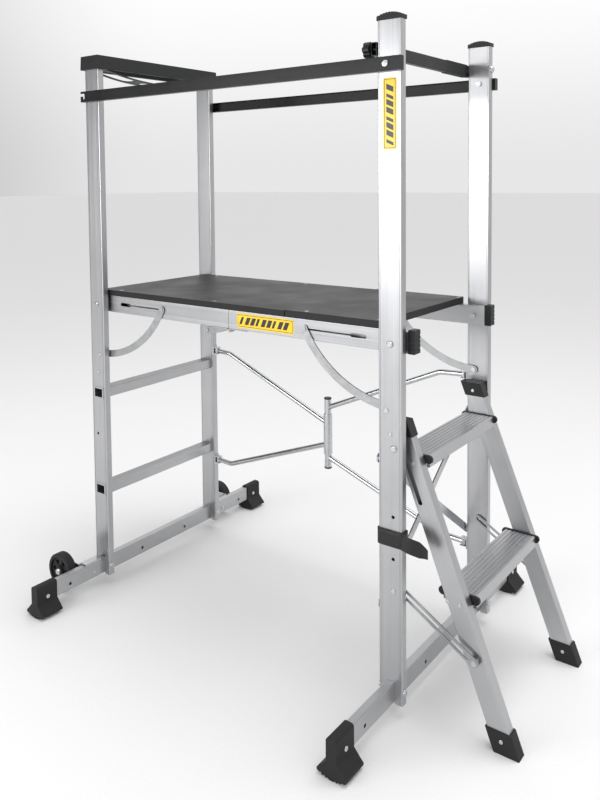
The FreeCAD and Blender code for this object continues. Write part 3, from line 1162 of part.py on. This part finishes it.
def nodes():
    """Every named piece, as a list of separate solids."""
    parts = {}
    for end, name in ((-1, "left"), (1, "right")):
        parts[name + "_post_front"] = post(end)
        parts[name + "_post_rear"] = mirror_y(post(end))
        parts[name + "_base_bar"] = base_bar(end)
        parts[name + "_foot_front"] = foot(end)
        parts[name + "_foot_rear"] = mirror_y(foot(end))
        parts["deck_rail_%s_front" % name] = deck_rail(end)
        parts["deck_rail_%s_rear" % name] = mirror_y(deck_rail(end))
        parts["deck_board_" + name] = deck_board(end)
        parts["deck_screws_" + name] = deck_screws(end)
        parts["deck_end_caps_" + name] = rail_end_caps(end)
        parts["deck_hinge_" + name] = deck_hinge(end)
        parts["stays_" + name] = both_sides(stay_bar(end))
        parts["gate_brackets_" + name] = gate_brackets(end)
    for name, level in RUNG_HEIGHTS.items():
        parts["rung_" + name] = rung(level)
    parts["tool_tray"] = tool_tray()
    parts["wheel_front"] = wheel()
    parts["wheel_rear"] = mirror_y(wheel())
    parts["wheel_bracket_front"] = wheel_bracket()
    parts["wheel_bracket_rear"] = mirror_y(wheel_bracket())
    parts["left_frame_bolts"] = left_bolts()
    parts["right_frame_bolts"] = right_bolts()
    parts["post_caps"] = both_sides([post_cap()])
    parts["cross_braces"] = cross_braces()
    parts["gate_arms_left"] = gate_arms_left()
    parts["gate_arms_right"] = gate_arms_right()
    parts["gate_tube_caps"] = gate_caps()
    parts["guard_rail_front"] = guard_rail()
    parts["guard_rail_rear"] = mirror_y(guard_rail())
    parts["end_bar"] = end_bar()
    parts["end_bar_sleeve"] = end_bar_sleeve()
    parts["end_bar_knob"] = end_bar_knob()
    parts["stair_stile_front"] = stile()
    parts["stair_stile_rear"] = mirror_y(stile())
    parts["stile_caps"] = both_sides([stile_cap()])
    parts["stair_feet"] = both_sides([stair_foot()])
    parts["tread_end_plates"] = tread_plates()
    parts["stair_rivets"] = stair_rivets()
    parts["stair_bushes"] = stair_bushes()
    parts["stair_links"] = stair_links()
    for name, place in TREADS.items():
        parts["stair_tread_" + name] = tread(*place)
    parts["deck_label"] = deck_label()
    parts["post_label"] = post_label()
    parts["post_strap"] = post_strap()
    return parts


def solids_of(item):
    """The separate solids in a piece or a list of pieces."""
    pieces = item if isinstance(item, list) else [item]
    found = []
    for piece in pieces:
        found += piece.Solids
    return found


os.makedirs("parts", exist_ok=True)
for node_name, item in nodes().items():
    solids = solids_of(item)
    shape = solids[0] if len(solids) == 1 else Part.makeCompound(solids)
    shape.exportStep(os.path.join("parts", node_name + ".step"))
    print(node_name, len(solids), "solids", round(shape.Volume / 1000.0, 1), "cm3", shape.isValid())
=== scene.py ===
# %% [markdown]
# # A folding work platform with a clip-on stair
#
# The real object is a low scaffold: two aluminium end frames, a black deck that folds in
# the middle, a folding steel brace behind it, two black guard rails, and a two-tread stair
# that hangs on the right frame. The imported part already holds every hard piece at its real
# size, so this script only loads it and gives it finishes, printed labels, a soft strap,
# light and a camera.

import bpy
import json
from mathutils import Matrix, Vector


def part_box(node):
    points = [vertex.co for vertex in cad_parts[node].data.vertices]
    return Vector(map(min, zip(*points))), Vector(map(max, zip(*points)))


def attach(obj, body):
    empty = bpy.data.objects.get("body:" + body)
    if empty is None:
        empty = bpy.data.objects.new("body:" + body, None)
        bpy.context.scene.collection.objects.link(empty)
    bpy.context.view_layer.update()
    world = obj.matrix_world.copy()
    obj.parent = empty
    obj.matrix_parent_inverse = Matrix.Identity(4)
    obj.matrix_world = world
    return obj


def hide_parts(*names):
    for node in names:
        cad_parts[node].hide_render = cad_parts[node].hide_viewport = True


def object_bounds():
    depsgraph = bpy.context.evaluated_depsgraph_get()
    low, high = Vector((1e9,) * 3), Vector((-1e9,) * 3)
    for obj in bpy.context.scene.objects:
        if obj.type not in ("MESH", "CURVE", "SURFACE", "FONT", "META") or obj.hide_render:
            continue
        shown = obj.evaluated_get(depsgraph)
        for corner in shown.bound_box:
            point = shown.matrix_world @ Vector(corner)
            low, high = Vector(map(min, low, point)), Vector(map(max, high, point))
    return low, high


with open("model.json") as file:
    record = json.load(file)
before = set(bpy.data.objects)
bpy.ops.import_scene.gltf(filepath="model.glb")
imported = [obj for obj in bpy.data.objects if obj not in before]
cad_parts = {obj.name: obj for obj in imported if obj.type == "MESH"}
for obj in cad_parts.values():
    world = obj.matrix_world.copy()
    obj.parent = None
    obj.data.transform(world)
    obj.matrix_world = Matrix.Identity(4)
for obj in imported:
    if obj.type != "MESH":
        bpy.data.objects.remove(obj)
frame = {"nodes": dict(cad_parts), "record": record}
cad_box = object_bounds()
print("pieces from the part:", len(frame["nodes"]))

# %% [markdown]
# Blender works in metres and in linear colour. Makers think in millimetres and pick colours
# as sRGB hex values, so two small helpers turn one into the other, and the rest of the
# lesson can talk like a maker.

# %% Units and colour
import json
import math

import bmesh
import bpy
from mathutils import Matrix, Vector

MM = 0.001


def linear(hex_colour):
    """Turns an sRGB hex colour into the linear RGBA that Blender's sockets want."""
    parts = [int(hex_colour[i:i + 2], 16) / 255 for i in (1, 3, 5)]
    return (*[p / 12.92 if p <= 0.04045 else ((p + 0.055) / 1.055) ** 2.4 for p in parts], 1.0)


print("mid grey in linear light:", round(linear("#808080")[0], 3))

# %% [markdown]
# Every finish below is a small graph of nodes. One function adds a node of any kind, sets
# its properties, and fills or links its inputs, so that a finish reads as a list of steps.
# Another starts a finish: it makes the material and its one shader. Most of a noise
# texture's values lie between 0.3 and 0.7, so a range that follows noise starts from those.


# %% Adding nodes
def socket(sockets, name):
    """The socket of that name in use: a Mix node has one set for each kind of data."""
    return next(s for s in sockets if s.name == name and s.enabled)


def fill(tree, node, inputs):
    """Fills a node's inputs; each is a plain value, or a node whose first output is linked."""
    for name, value in inputs.items():
        target = socket(node.inputs, name)
        if isinstance(value, bpy.types.Node):
            tree.links.new(next(s for s in value.outputs if s.enabled), target)
        elif isinstance(value, bpy.types.NodeSocket):
            tree.links.new(value, target)
        else:
            target.default_value = value


def add(tree, kind, inputs=None, **settings):
    """Adds one node to a tree, with its settings and its inputs."""
    node = tree.nodes.new("ShaderNode" + kind)
    for name, value in settings.items():
        setattr(node, name, value)
    fill(tree, node, inputs or {})
    return node


def start_finish(name, plain_values):
    """Makes a material with one shader, whose plain values sit on its own sockets."""
    material = bpy.data.materials.new(name)
    material.use_nodes = True
    tree = material.node_tree
    tree.nodes.clear()
    shader = add(tree, "BsdfPrincipled", plain_values)
    add(tree, "OutputMaterial", {"Surface": shader})
    return material, tree, shader


NOISE_SPAN = {"From Min": 0.3, "From Max": 0.7}
print("a finish starts with", [n.name for n in start_finish("sample", {})[1].nodes])
bpy.data.materials.remove(bpy.data.materials["sample"])


# %% [markdown]
# ## Anodised aluminium extrusion
#
# Posts, bars, rungs, treads and stiles are aluminium pushed through a steel die, etched to a
# satin and anodised. The die leaves fine lines along the length, the etch spreads the
# highlight, and the oxide layer makes the metal a little greyer than polished aluminium.
# The lines could be modelled, but they are micrometres deep, so noise stretched along the
# length carries them, once in the roughness and once as a very small bump. Real die lines
# stand about 0.2 mm apart, too fine to show, so they are drawn 2.5 mm apart. A wide, faint
# cloudiness is what handling and the etching bath leave.

# %% Aluminium, one finish for each direction of extrusion
DIE_LINE = 2.5 * MM
LINE_LENGTH = 500 * MM
BATH_CLOUD = 90 * MM
STAIR_LEAN = math.radians(21.3)


def anodised_aluminium(name, stretch, turn=0.0):
    """Stretch is 1 on the axis of extrusion; turn leans that axis about Y."""
    material, tree, shader = start_finish(name, {"Metallic": 1.0})
    place = add(tree, "TexCoord").outputs["Object"]
    scale = [1 / LINE_LENGTH if along else 1 / DIE_LINE for along in stretch]
    leaned = add(tree, "Mapping", {"Vector": place, "Rotation": (0, turn, 0)})
    lines = add(tree, "Mapping", {"Vector": leaned, "Scale": scale})
    die = add(tree, "TexNoise", {"Vector": lines, "Scale": 1.0, "Detail": 3.0})
    cloud = add(tree, "TexNoise", {"Vector": place, "Scale": 1 / BATH_CLOUD, "Detail": 2.0})
    tint = add(tree, "Mix", {"Factor": cloud, "A": linear("#B9BABC"), "B": linear("#C6C6C8")},
               data_type="RGBA")
    streak = add(tree, "Mix", {"Factor": die, "A": linear("#E2E2E3"), "B": linear("#FFFFFF")},
                 data_type="RGBA")
    colour = add(tree, "Mix", {"Factor": 1.0, "A": tint, "B": streak},
                 data_type="RGBA", blend_type="MULTIPLY")
    rough = add(tree, "MapRange", {"Value": die, **NOISE_SPAN, "To Min": 0.28, "To Max": 0.40})
    bump = add(tree, "Bump", {"Height": die, "Strength": 0.12, "Distance": 0.2 * MM})
    fill(tree, shader, {"Base Color": colour, "Roughness": rough, "Normal": bump})
    return material


aluminium_along_x = anodised_aluminium("anodised_aluminium_along_x", (1, 0, 0))
aluminium_along_y = anodised_aluminium("anodised_aluminium_along_y", (0, 1, 0))
aluminium_along_z = anodised_aluminium("anodised_aluminium_along_z", (0, 0, 1))
aluminium_leaning = anodised_aluminium("anodised_aluminium_leaning", (0, 0, 1), STAIR_LEAN)
print("die lines drawn", DIE_LINE / MM, "mm apart")

# %% [markdown]
# ## Zinc-plated steel
#
# The folding brace, the curved stays, the links, bolts and rivets are steel with a thin,
# bright zinc plating, cleared with a blue passivate. It reflects more sharply than the
# anodised metal. Plating builds up unevenly, so its gloss wanders over some 15 mm, and a
# finer grain of about 1 mm keeps it from looking like chrome.

# %% Zinc plating
PLATING_PATCH = 15 * MM
PLATING_GRAIN = 1.0 * MM


def zinc_plated_steel(name, grey, bright, dull, smooth):
    """A plated metal between two tints, grey and bright, and two roughnesses."""
    material, tree, shader = start_finish(name, {"Metallic": 1.0})
    place = add(tree, "TexCoord").outputs["Object"]
    patch = add(tree, "TexNoise", {"Vector": place, "Scale": 1 / PLATING_PATCH, "Detail": 3.0})
    grain = add(tree, "TexNoise", {"Vector": place, "Scale": 1 / PLATING_GRAIN})
    colour = add(tree, "Mix", {"Factor": patch, "A": linear(grey), "B": linear(bright)},
                 data_type="RGBA")
    rough = add(tree, "MapRange", {"Value": patch, **NOISE_SPAN,
                                   "To Min": smooth, "To Max": dull})
    bump = add(tree, "Bump", {"Height": grain, "Strength": 0.1, "Distance": 0.1 * MM})
    fill(tree, shader, {"Base Color": colour, "Roughness": rough, "Normal": bump})
    return material


bright_zinc = zinc_plated_steel("zinc_plated_steel_bright", "#B4B6B9", "#CFD0D2", 0.28, 0.18)
satin_zinc = zinc_plated_steel("zinc_plated_steel_satin", "#9C9D9F", "#B7B8B9", 0.42, 0.30)
print("zinc finishes:", bright_zinc.name, satin_zinc.name)

# %% [markdown]
# ## Black finishes
#
# The black pieces differ in gloss and grain rather than in colour. Powder coat is a baked
# enamel with a faint orange peel. Caps, plugs, tray and knob are injection-moulded nylon
# with a spark-eroded grain. Feet and tyres are rubber, dull and slightly dusty on top. The end
# bar's sleeve is drawn a little lighter grey and duller than the bar. One function serves all
# four, because each is one dark colour with a wandering gloss and a grain of its own size.
# The deck's facing and the strap's webbing have a woven pattern, so they follow on their own.

# %% Enamel, the lighter grey sleeve, moulded nylon and rubber
GLOSS_PATCH = 60 * MM


def black_finish(name, deep, worn, grain_size, grain_depth, glossy, dull, ior=1.5):
    """A black coating or moulding; grain_size and grain_depth are in millimetres."""
    material, tree, shader = start_finish(name, {"IOR": ior, "Specular IOR Level": 0.3})
    place = add(tree, "TexCoord").outputs["Object"]
    patch = add(tree, "TexNoise", {"Vector": place, "Scale": 1 / GLOSS_PATCH, "Detail": 4.0})
    grain = add(tree, "TexNoise",
                {"Vector": place, "Scale": 1 / (grain_size * MM), "Detail": 2.0})
    colour = add(tree, "Mix", {"Factor": patch, "A": linear(deep), "B": linear(worn)},
                 data_type="RGBA")
    rough = add(tree, "MapRange", {"Value": patch, **NOISE_SPAN,
                                   "To Min": glossy, "To Max": dull})
    bump = add(tree, "Bump", {"Height": grain, "Strength": 0.4, "Distance": grain_depth * MM})
    fill(tree, shader, {"Base Color": colour, "Roughness": rough, "Normal": bump})
    return material


powder_coat = black_finish("powder_coated_enamel_black", "#121314", "#1B1C1D", 1.5, 0.05,
                           0.28, 0.38)
# The end bar's sleeve, drawn a dark grey a little lighter than the bar's enamel.
lighter_grey_sleeve = black_finish("sleeve_black_lighter_grey", "#2A2B2D", "#333436", 1.0, 0.15, 0.55, 0.7)
moulded_nylon = black_finish("moulded_nylon_black", "#151617", "#202122", 0.8, 0.08, 0.40, 0.52,
                             1.53)
tyre_rubber = black_finish("moulded_rubber_black", "#191919", "#262625", 1.2, 0.12, 0.55, 0.75,
                           1.52)
print("black finishes:", [m.name for m in (powder_coat, lighter_grey_sleeve, moulded_nylon, tyre_rubber)])

# %% [markdown]
# ## Film-faced plywood
#
# The film is a dark brown-black resin paper, pressed on hot through a woven wire. The wire
# leaves a grid of little cushions about 3 mm apart, drawn here 5 mm apart so that it shows.
# Two crossed sine waves make that grid. The sheen comes from a resin of IOR 1.55, and the
# board's cut edges are sealed with the same black.

# %% Deck facing
WIRE_GRID = 5 * MM
SCUFF = 130 * MM
# A wave texture of scale 1 has a period of 2 pi / 20 of a unit.
WAVE_PERIOD = math.tau / 20

film_faced_ply, tree, shader = start_finish("film_faced_plywood_black",
                                            {"IOR": 1.55, "Specular IOR Level": 0.28})
place = add(tree, "TexCoord").outputs["Object"]
waves = [add(tree, "TexWave", {"Vector": place, "Scale": WAVE_PERIOD / WIRE_GRID},
             bands_direction=axis, wave_profile="SIN") for axis in "XY"]
grid = add(tree, "Math", {"Value": waves[0].outputs["Fac"]}, operation="MULTIPLY")
tree.links.new(waves[1].outputs["Fac"], grid.inputs[1])
scuff = add(tree, "TexNoise", {"Vector": place, "Scale": 1 / SCUFF, "Detail": 5.0})
film = add(tree, "Mix", {"Factor": scuff, "A": linear("#0E0E0F"), "B": linear("#171718")},
           data_type="RGBA")
film_rough = add(tree, "MapRange", {"Value": scuff, **NOISE_SPAN,
                                    "To Min": 0.38, "To Max": 0.52})
film_bump = add(tree, "Bump", {"Height": grid, "Strength": 0.25, "Distance": 0.15 * MM})
fill(tree, shader, {"Base Color": film, "Roughness": film_rough, "Normal": film_bump})
print("wire grid drawn", WIRE_GRID / MM, "mm apart")

# %% [markdown]
# ## Webbing and label film
#
# The strap round the front right post is flat woven polyester, black and rather shiny, with
# ribs across its width. The labels are a yellow vinyl film with a clear coat
# over black ink. The ink is made as a piece of its own further down, because its edges are
# sharp shapes, which geometry gives more cleanly than a pattern does.

# %% Webbing
RIB = 2.0 * MM

woven_webbing, tree, shader = start_finish(
    "woven_polyester_webbing_black",
    {"Sheen Weight": 0.1, "Sheen Roughness": 0.4, "IOR": 1.55,
     "Specular IOR Level": 0.35},
)
place = add(tree, "TexCoord").outputs["Object"]
ribs = add(tree, "TexWave", {"Vector": place, "Scale": WAVE_PERIOD / RIB},
           bands_direction="Z", wave_profile="SIN")
yarn = add(tree, "TexNoise", {"Vector": place, "Scale": 1 / RIB, "Detail": 4.0})
webbing_colour = add(tree, "Mix", {"Factor": yarn, "A": linear("#0C0C0D"),
                                   "B": linear("#19191A")}, data_type="RGBA")
webbing_rough = add(tree, "MapRange", {"Value": yarn, **NOISE_SPAN,
                                       "To Min": 0.30, "To Max": 0.50})
webbing_bump = add(tree, "Bump", {"Height": ribs.outputs["Fac"], "Strength": 0.5,
                                  "Distance": 0.3 * MM})
fill(tree, shader, {"Base Color": webbing_colour, "Roughness": webbing_rough,
                    "Normal": webbing_bump})
print("webbing ribs", RIB / MM, "mm apart")

# %% Label film and ink
INK_WEAR = 4 * MM


def printed_film(name, fresh, faded, coat):
    """Vinyl or ink: one strong colour, a little faded in patches, under a clear coat."""
    material, tree, shader = start_finish(
        name, {"Roughness": 0.45, "Coat Weight": coat, "Coat Roughness": 0.2, "IOR": 1.5})
    place = add(tree, "TexCoord").outputs["Object"]
    wear = add(tree, "TexNoise", {"Vector": place, "Scale": 1 / INK_WEAR, "Detail": 4.0})
    colour = add(tree, "Mix", {"Factor": wear, "A": linear(fresh), "B": linear(faded)},
                 data_type="RGBA")
    bump = add(tree, "Bump", {"Height": wear, "Strength": 0.1, "Distance": 0.05 * MM})
    fill(tree, shader, {"Base Color": colour, "Normal": bump})
    return material


yellow_vinyl = printed_film("vinyl_film_yellow", "#FFD60A", "#F7CB0C", 0.4)
black_ink = printed_film("screen_ink_black", "#141414", "#1E1E1E", 0.3)
print("label finishes:", yellow_vinyl.name, black_ink.name)

# %% [markdown]
# ## Dressing the part
#
# The record says which material slot each node belongs to. A table gives each slot its
# finish, and a second, shorter table names the nodes whose extrusion runs another way, or
# whose plating or moulding differs from the rest of its slot.

# %% Finishes for every node
SLOT_FINISH = {
    "anodised_aluminium": aluminium_along_z,
    "zinc_steel": bright_zinc,
    "moulded_black": moulded_nylon,
    "rubber": tyre_rubber,
    "black_enamel": powder_coat,
    "deck_facing": film_faced_ply,
    "webbing": woven_webbing,
    "label_film": yellow_vinyl,
}
SPECIAL_FINISH = {
    aluminium_along_x: ("deck_rail_left_front", "deck_rail_left_rear",
                        "deck_rail_right_front", "deck_rail_right_rear"),
    aluminium_along_y: ("left_base_bar", "right_base_bar", "rung_lower", "rung_upper",
                        "stair_tread_lower", "stair_tread_upper"),
    aluminium_leaning: ("stair_stile_front", "stair_stile_rear"),
    satin_zinc: ("stays_left", "stays_right", "stair_links", "deck_hinge_left",
                 "deck_hinge_right"),
    lighter_grey_sleeve: ("end_bar_sleeve",),
    tyre_rubber: ("wheel_front", "wheel_rear"),
}
finish_of = {row["node"]: SLOT_FINISH[row["material_slot"]]
             for row in frame["record"]["subparts"]}
for finish, names in SPECIAL_FINISH.items():
    finish_of.update({name: finish for name in names})
for name, piece in frame["nodes"].items():
    piece.data.materials.clear()
    piece.data.materials.append(finish_of[name])
print("dressed", len(finish_of), "nodes in", len(set(finish_of.values())), "finishes")

# %% [markdown]
# ## Printed labels
#
# Each label carries a generic print: a thin frame and a row of slanted bars. Ink is a few
# hundredths of a millimetre thick, and here it stands 0.1 mm proud so that it never
# flickers against the film. Each shape is a flat outline in the label's own plane, pulled
# up by that thickness, and the slanted bars are one outline repeated by a loop.

# %% Printing on a label
INK = 0.1 * MM
FRAME_INSET = 3.0 * MM
FRAME_LINE = 1.2 * MM
BAR_SLANT = 0.45
# Shares of the label's height where the bars start and stop.
BAR_FOOT, BAR_TOP = 0.24, 0.76
BAR_MARGIN = 2.6 * FRAME_INSET
# Shares of the bars' spacing: every third bar is a narrow one.
WIDE_BAR, NARROW_BAR = 0.72, 0.45


def raised(mesh, outline, at, along, across, out):
    """Adds a flat outline, thickened, to a mesh: points are (along, across) in metres."""
    low = [mesh.verts.new(at + along * a + across * b) for a, b in outline]
    face = mesh.faces.new(low)
    pulled = bmesh.ops.extrude_face_region(mesh, geom=[face])
    top = [v for v in pulled["geom"] if isinstance(v, bmesh.types.BMVert)]
    bmesh.ops.translate(mesh, verts=top, vec=out * INK)


def print_on(label, body, name, along, across, bars):
    """Prints a frame and slanted bars on a label that faces -Y."""
    low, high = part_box(label)
    low, high = Vector(low), Vector(high)
    size = high - low
    length, height = abs(size.dot(along)), abs(size.dot(across))
    corner = (low + high) / 2 - along * length / 2 - across * height / 2
    corner.y = low.y
    out = Vector((0, -1, 0))
    mesh = bmesh.new()
    a0, b0 = FRAME_INSET, FRAME_INSET
    a1, b1 = length - FRAME_INSET, height - FRAME_INSET
    for x0, y0, x1, y1 in ((a0, b0, a1, b0 + FRAME_LINE), (a0, b1 - FRAME_LINE, a1, b1),
                           (a0, b0, a0 + FRAME_LINE, b1), (a1 - FRAME_LINE, b0, a1, b1)):
        raised(mesh, [(x0, y0), (x1, y0), (x1, y1), (x0, y1)], corner, along, across, out)
    foot, top = height * BAR_FOOT, height * BAR_TOP
    slant = (top - foot) * BAR_SLANT
    first, last = BAR_MARGIN, length - BAR_MARGIN - slant
    pitch = (last - first) / bars
    for k in range(bars):
        start = first + k * pitch
        wide = pitch * (WIDE_BAR if k % 3 else NARROW_BAR)
        raised(mesh, [(start, foot), (start + wide, foot), (start + wide + slant, top),
                      (start + slant, top)], corner, along, across, out)
    bmesh.ops.recalc_face_normals(mesh, faces=mesh.faces)
    data = bpy.data.meshes.new(name)
    mesh.to_mesh(data)
    mesh.free()
    piece = bpy.data.objects.new(name, data)
    bpy.context.collection.objects.link(piece)
    data.materials.append(black_ink)
    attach(piece, body)
    return piece


X, Y, Z = Vector((1, 0, 0)), Vector((0, 1, 0)), Vector((0, 0, 1))
deck_print = print_on("deck_label", "deck_right", "deck_label_print", X, Z, 9)
post_print = print_on("post_label", "right_frame", "post_label_print", Z, -X, 8)
print("printed shapes:", len(deck_print.data.polygons), len(post_print.data.polygons))

# %% [markdown]
# ## The strap
#
# The strap is a band of webbing pulled round the front right post, with a short tail that
# hangs free. A simple band in the part marks its place; here it becomes a soft one. A curve
# sweeping a flat profile would twist in the tail, so the band is built directly: points run
# along its middle line, a column of six vertices stands at each, and a Solidify modifier
# gives the thickness. It stands off the flat faces and bulges at the corners, as
# stiff webbing does, and the tail waves, droops and narrows to a cut tip.

# %% Strap
WEB_THICK = 1.8 * MM
SLACK = 3.0 * MM
ROUNDNESS = 0.28
LOOP_POINTS = 72
TAIL_POINTS = 28
TAIL_GAP = 2.2 * MM
TAIL_WAVE = 4.0 * MM
TAIL_WAVES = 0.8
TAIL_DROOP = 13 * MM
# The last 30 per cent of the tail narrows to 55 per cent of the width.
TIP_SHARE, TIP_NARROWING = 0.3, 0.45
ROWS = 6
post_low, post_high = (Vector(v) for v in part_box("right_post_front"))
old_low, old_high = (Vector(v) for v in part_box("post_strap"))
middle = (post_low + post_high) / 2
half_x = (post_high.x - post_low.x) / 2 + SLACK
half_y = (post_high.y - post_low.y) / 2 + SLACK
band_height = old_high.z - old_low.z


def loop_point(turn):
    """A rounded rectangle round the post; a low ROUNDNESS keeps the faces almost flat."""
    c, s = math.cos(turn), math.sin(turn)
    x = math.copysign(abs(c) ** ROUNDNESS, c) * half_x
    y = math.copysign(abs(s) ** ROUNDNESS, s) * half_y
    return Vector((middle.x + x, middle.y + y, 0))


# The band starts at the front right corner, goes once round, and leaves as the tail.
START = math.radians(-44)
path = [(loop_point(START - math.tau * k / LOOP_POINTS), 0.0, 1.0) for k in range(LOOP_POINTS)]
tail_root = loop_point(START) + Vector((0, -TAIL_GAP, 0))
tail_length = old_high.x - tail_root.x
for k in range(TAIL_POINTS):
    f = k / (TAIL_POINTS - 1)
    wave = TAIL_WAVE * math.sin(f * math.tau * TAIL_WAVES)
    droop = -TAIL_DROOP * f * f
    width = 1.0 - TIP_NARROWING * max(0.0, f - (1 - TIP_SHARE)) / TIP_SHARE
    path.append((tail_root + Vector((tail_length * f, -wave, 0)), droop, width))
web = bmesh.new()
rows = []
for point, droop, width in path:
    centre = old_low.z + band_height / 2 + droop
    spread = band_height * width
    row = [web.verts.new((point.x, point.y, centre + spread * (r / (ROWS - 1) - 0.5)))
           for r in range(ROWS)]
    rows.append(row)
for one, two in zip(rows, rows[1:]):
    for r in range(ROWS - 1):
        web.faces.new((one[r], two[r], two[r + 1], one[r + 1]))
bmesh.ops.recalc_face_normals(web, faces=web.faces)
band_mesh = bpy.data.meshes.new("webbing_strap")
web.to_mesh(band_mesh)
web.free()
for face in band_mesh.polygons:
    face.use_smooth = True
strap = bpy.data.objects.new("webbing_strap", band_mesh)
bpy.context.collection.objects.link(strap)
thicken = strap.modifiers.new("thickness", "SOLIDIFY")
thicken.thickness = WEB_THICK
thicken.offset = 0.0
band_mesh.materials.append(woven_webbing)
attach(strap, "right_frame")
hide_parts("post_strap")
print("strap faces:", len(band_mesh.polygons), "tail", round(tail_length / MM), "mm")

# %% [markdown]
# ## Studio
#
# The floor is a plain near-white sheet that runs to the horizon, so it needs no backdrop
# that would hide the object from behind. The sky is a white studio, a little dimmer at the
# horizon so that it meets the floor softly, with one darker side at the front left: metal
# shows its shape only if it has something darker to reflect. Two large area lights add the
# soft shadow at the feet and the broad highlight.

# %% Floor, sky and lights
FLOOR_SIZE = 120.0
PAPER_FIBRE = 8 * MM
bpy.ops.mesh.primitive_plane_add(size=FLOOR_SIZE, location=(0, 0, cad_box[0][2]))
floor = bpy.context.object
floor.name = "studio_floor"
paper, tree, shader = start_finish("studio_paper_white", {"Roughness": 0.8,
                                                          "Specular IOR Level": 0.2})
place = add(tree, "TexCoord").outputs["Object"]
fibre = add(tree, "TexNoise", {"Vector": place, "Scale": 1 / PAPER_FIBRE})
fill(tree, shader, {"Base Color": add(tree, "Mix", {
    "Factor": fibre, "A": linear("#E6E6E6"), "B": linear("#EBEBEB")}, data_type="RGBA")})
floor.data.materials.append(paper)

DARK_SIDE = Vector((-0.88, -0.47, 0.0)).normalized()
world = bpy.data.worlds.new("studio")
world.use_nodes = True
tree = world.node_tree
tree.nodes.clear()
ray = add(tree, "TexCoord").outputs["Generated"]
facing = add(tree, "VectorMath", {}, operation="DOT_PRODUCT")
tree.links.new(ray, facing.inputs[0])
facing.inputs[1].default_value = DARK_SIDE
shade = add(tree, "MapRange", {"Value": facing.outputs["Value"], "From Min": 0.30,
                               "From Max": 0.92, "To Min": 1.0, "To Max": 0.12},
            interpolation_type="SMOOTHSTEP")
rise = add(tree, "SeparateXYZ", {"Vector": ray}).outputs["Z"]
haze = add(tree, "MapRange", {"Value": rise, "From Min": 0.0, "From Max": 0.25,
                              "To Min": 0.80, "To Max": 1.0}, interpolation_type="SMOOTHSTEP")
strength = add(tree, "Math", {}, operation="MULTIPLY")
tree.links.new(shade.outputs[0], strength.inputs[0])
tree.links.new(haze.outputs[0], strength.inputs[1])
sky = add(tree, "Background", {"Color": linear("#FFFFFF"), "Strength": strength})
add(tree, "OutputWorld", {"Surface": sky})
bpy.context.scene.world = world


def softbox(name, place, target, width, height, watts):
    """A rectangular area light that looks at a point."""
    data = bpy.data.lights.new(name, "AREA")
    data.shape = "RECTANGLE"
    data.size, data.size_y = width, height
    data.energy = watts
    lamp = bpy.data.objects.new(name, data)
    lamp.location = place
    lamp.rotation_euler = (Vector(target) - Vector(place)).to_track_quat("-Z", "Y").to_euler()
    bpy.context.collection.objects.link(lamp)


softbox("front_softbox", place=(-1.4, -3.8, 1.35), target=(0.3, 0, 1.15),
        width=3.0, height=0.9, watts=75)
softbox("top_softbox", place=(1.0, 0.4, 4.0), target=(0, 0, 0.6),
        width=2.5, height=2.5, watts=60)
bpy.context.scene.view_settings.view_transform = "Standard"

# %% [markdown]
# ## Camera
#
# The camera stands to the front right, a little above the deck, and looks almost level. A
# rising-front shift keeps the posts nearly parallel while the feet stay in the frame, as an
# architectural photographer does. The view is built from yaw, pitch and a very small roll.

# %% Camera
CAMERA_PLACE = Vector((1.3638, -1.7228, 1.2117))
SENSOR_WIDTH, FOCAL_LENGTH = 36, 35.188
FRONT_SHIFT = -0.22
YAW, PITCH, ROLL = math.radians(36.814), math.radians(-3.225), math.radians(-0.489)
ahead = Vector((-math.sin(YAW) * math.cos(PITCH), math.cos(YAW) * math.cos(PITCH),
                math.sin(PITCH)))
level = ahead.cross(Z).normalized()
upward = level.cross(ahead)
right = level * math.cos(ROLL) + upward * math.sin(ROLL)
up = upward * math.cos(ROLL) - level * math.sin(ROLL)
lens = bpy.data.cameras.new("camera")
lens.sensor_width = SENSOR_WIDTH
lens.lens = FOCAL_LENGTH
lens.shift_y = FRONT_SHIFT
camera = bpy.data.objects.new("camera", lens)
camera.matrix_world = Matrix((right, up, -ahead)).transposed().to_4x4()
camera.location = CAMERA_PLACE
bpy.context.collection.objects.link(camera)
bpy.context.scene.camera = camera
print("camera height:", round(camera.location.z, 3), "m")

# %% [markdown]
# ## Bringing the scene up to date
#
# Finishes and prints must not change the size of the part.

# %% Update the scene
bpy.context.view_layer.update()
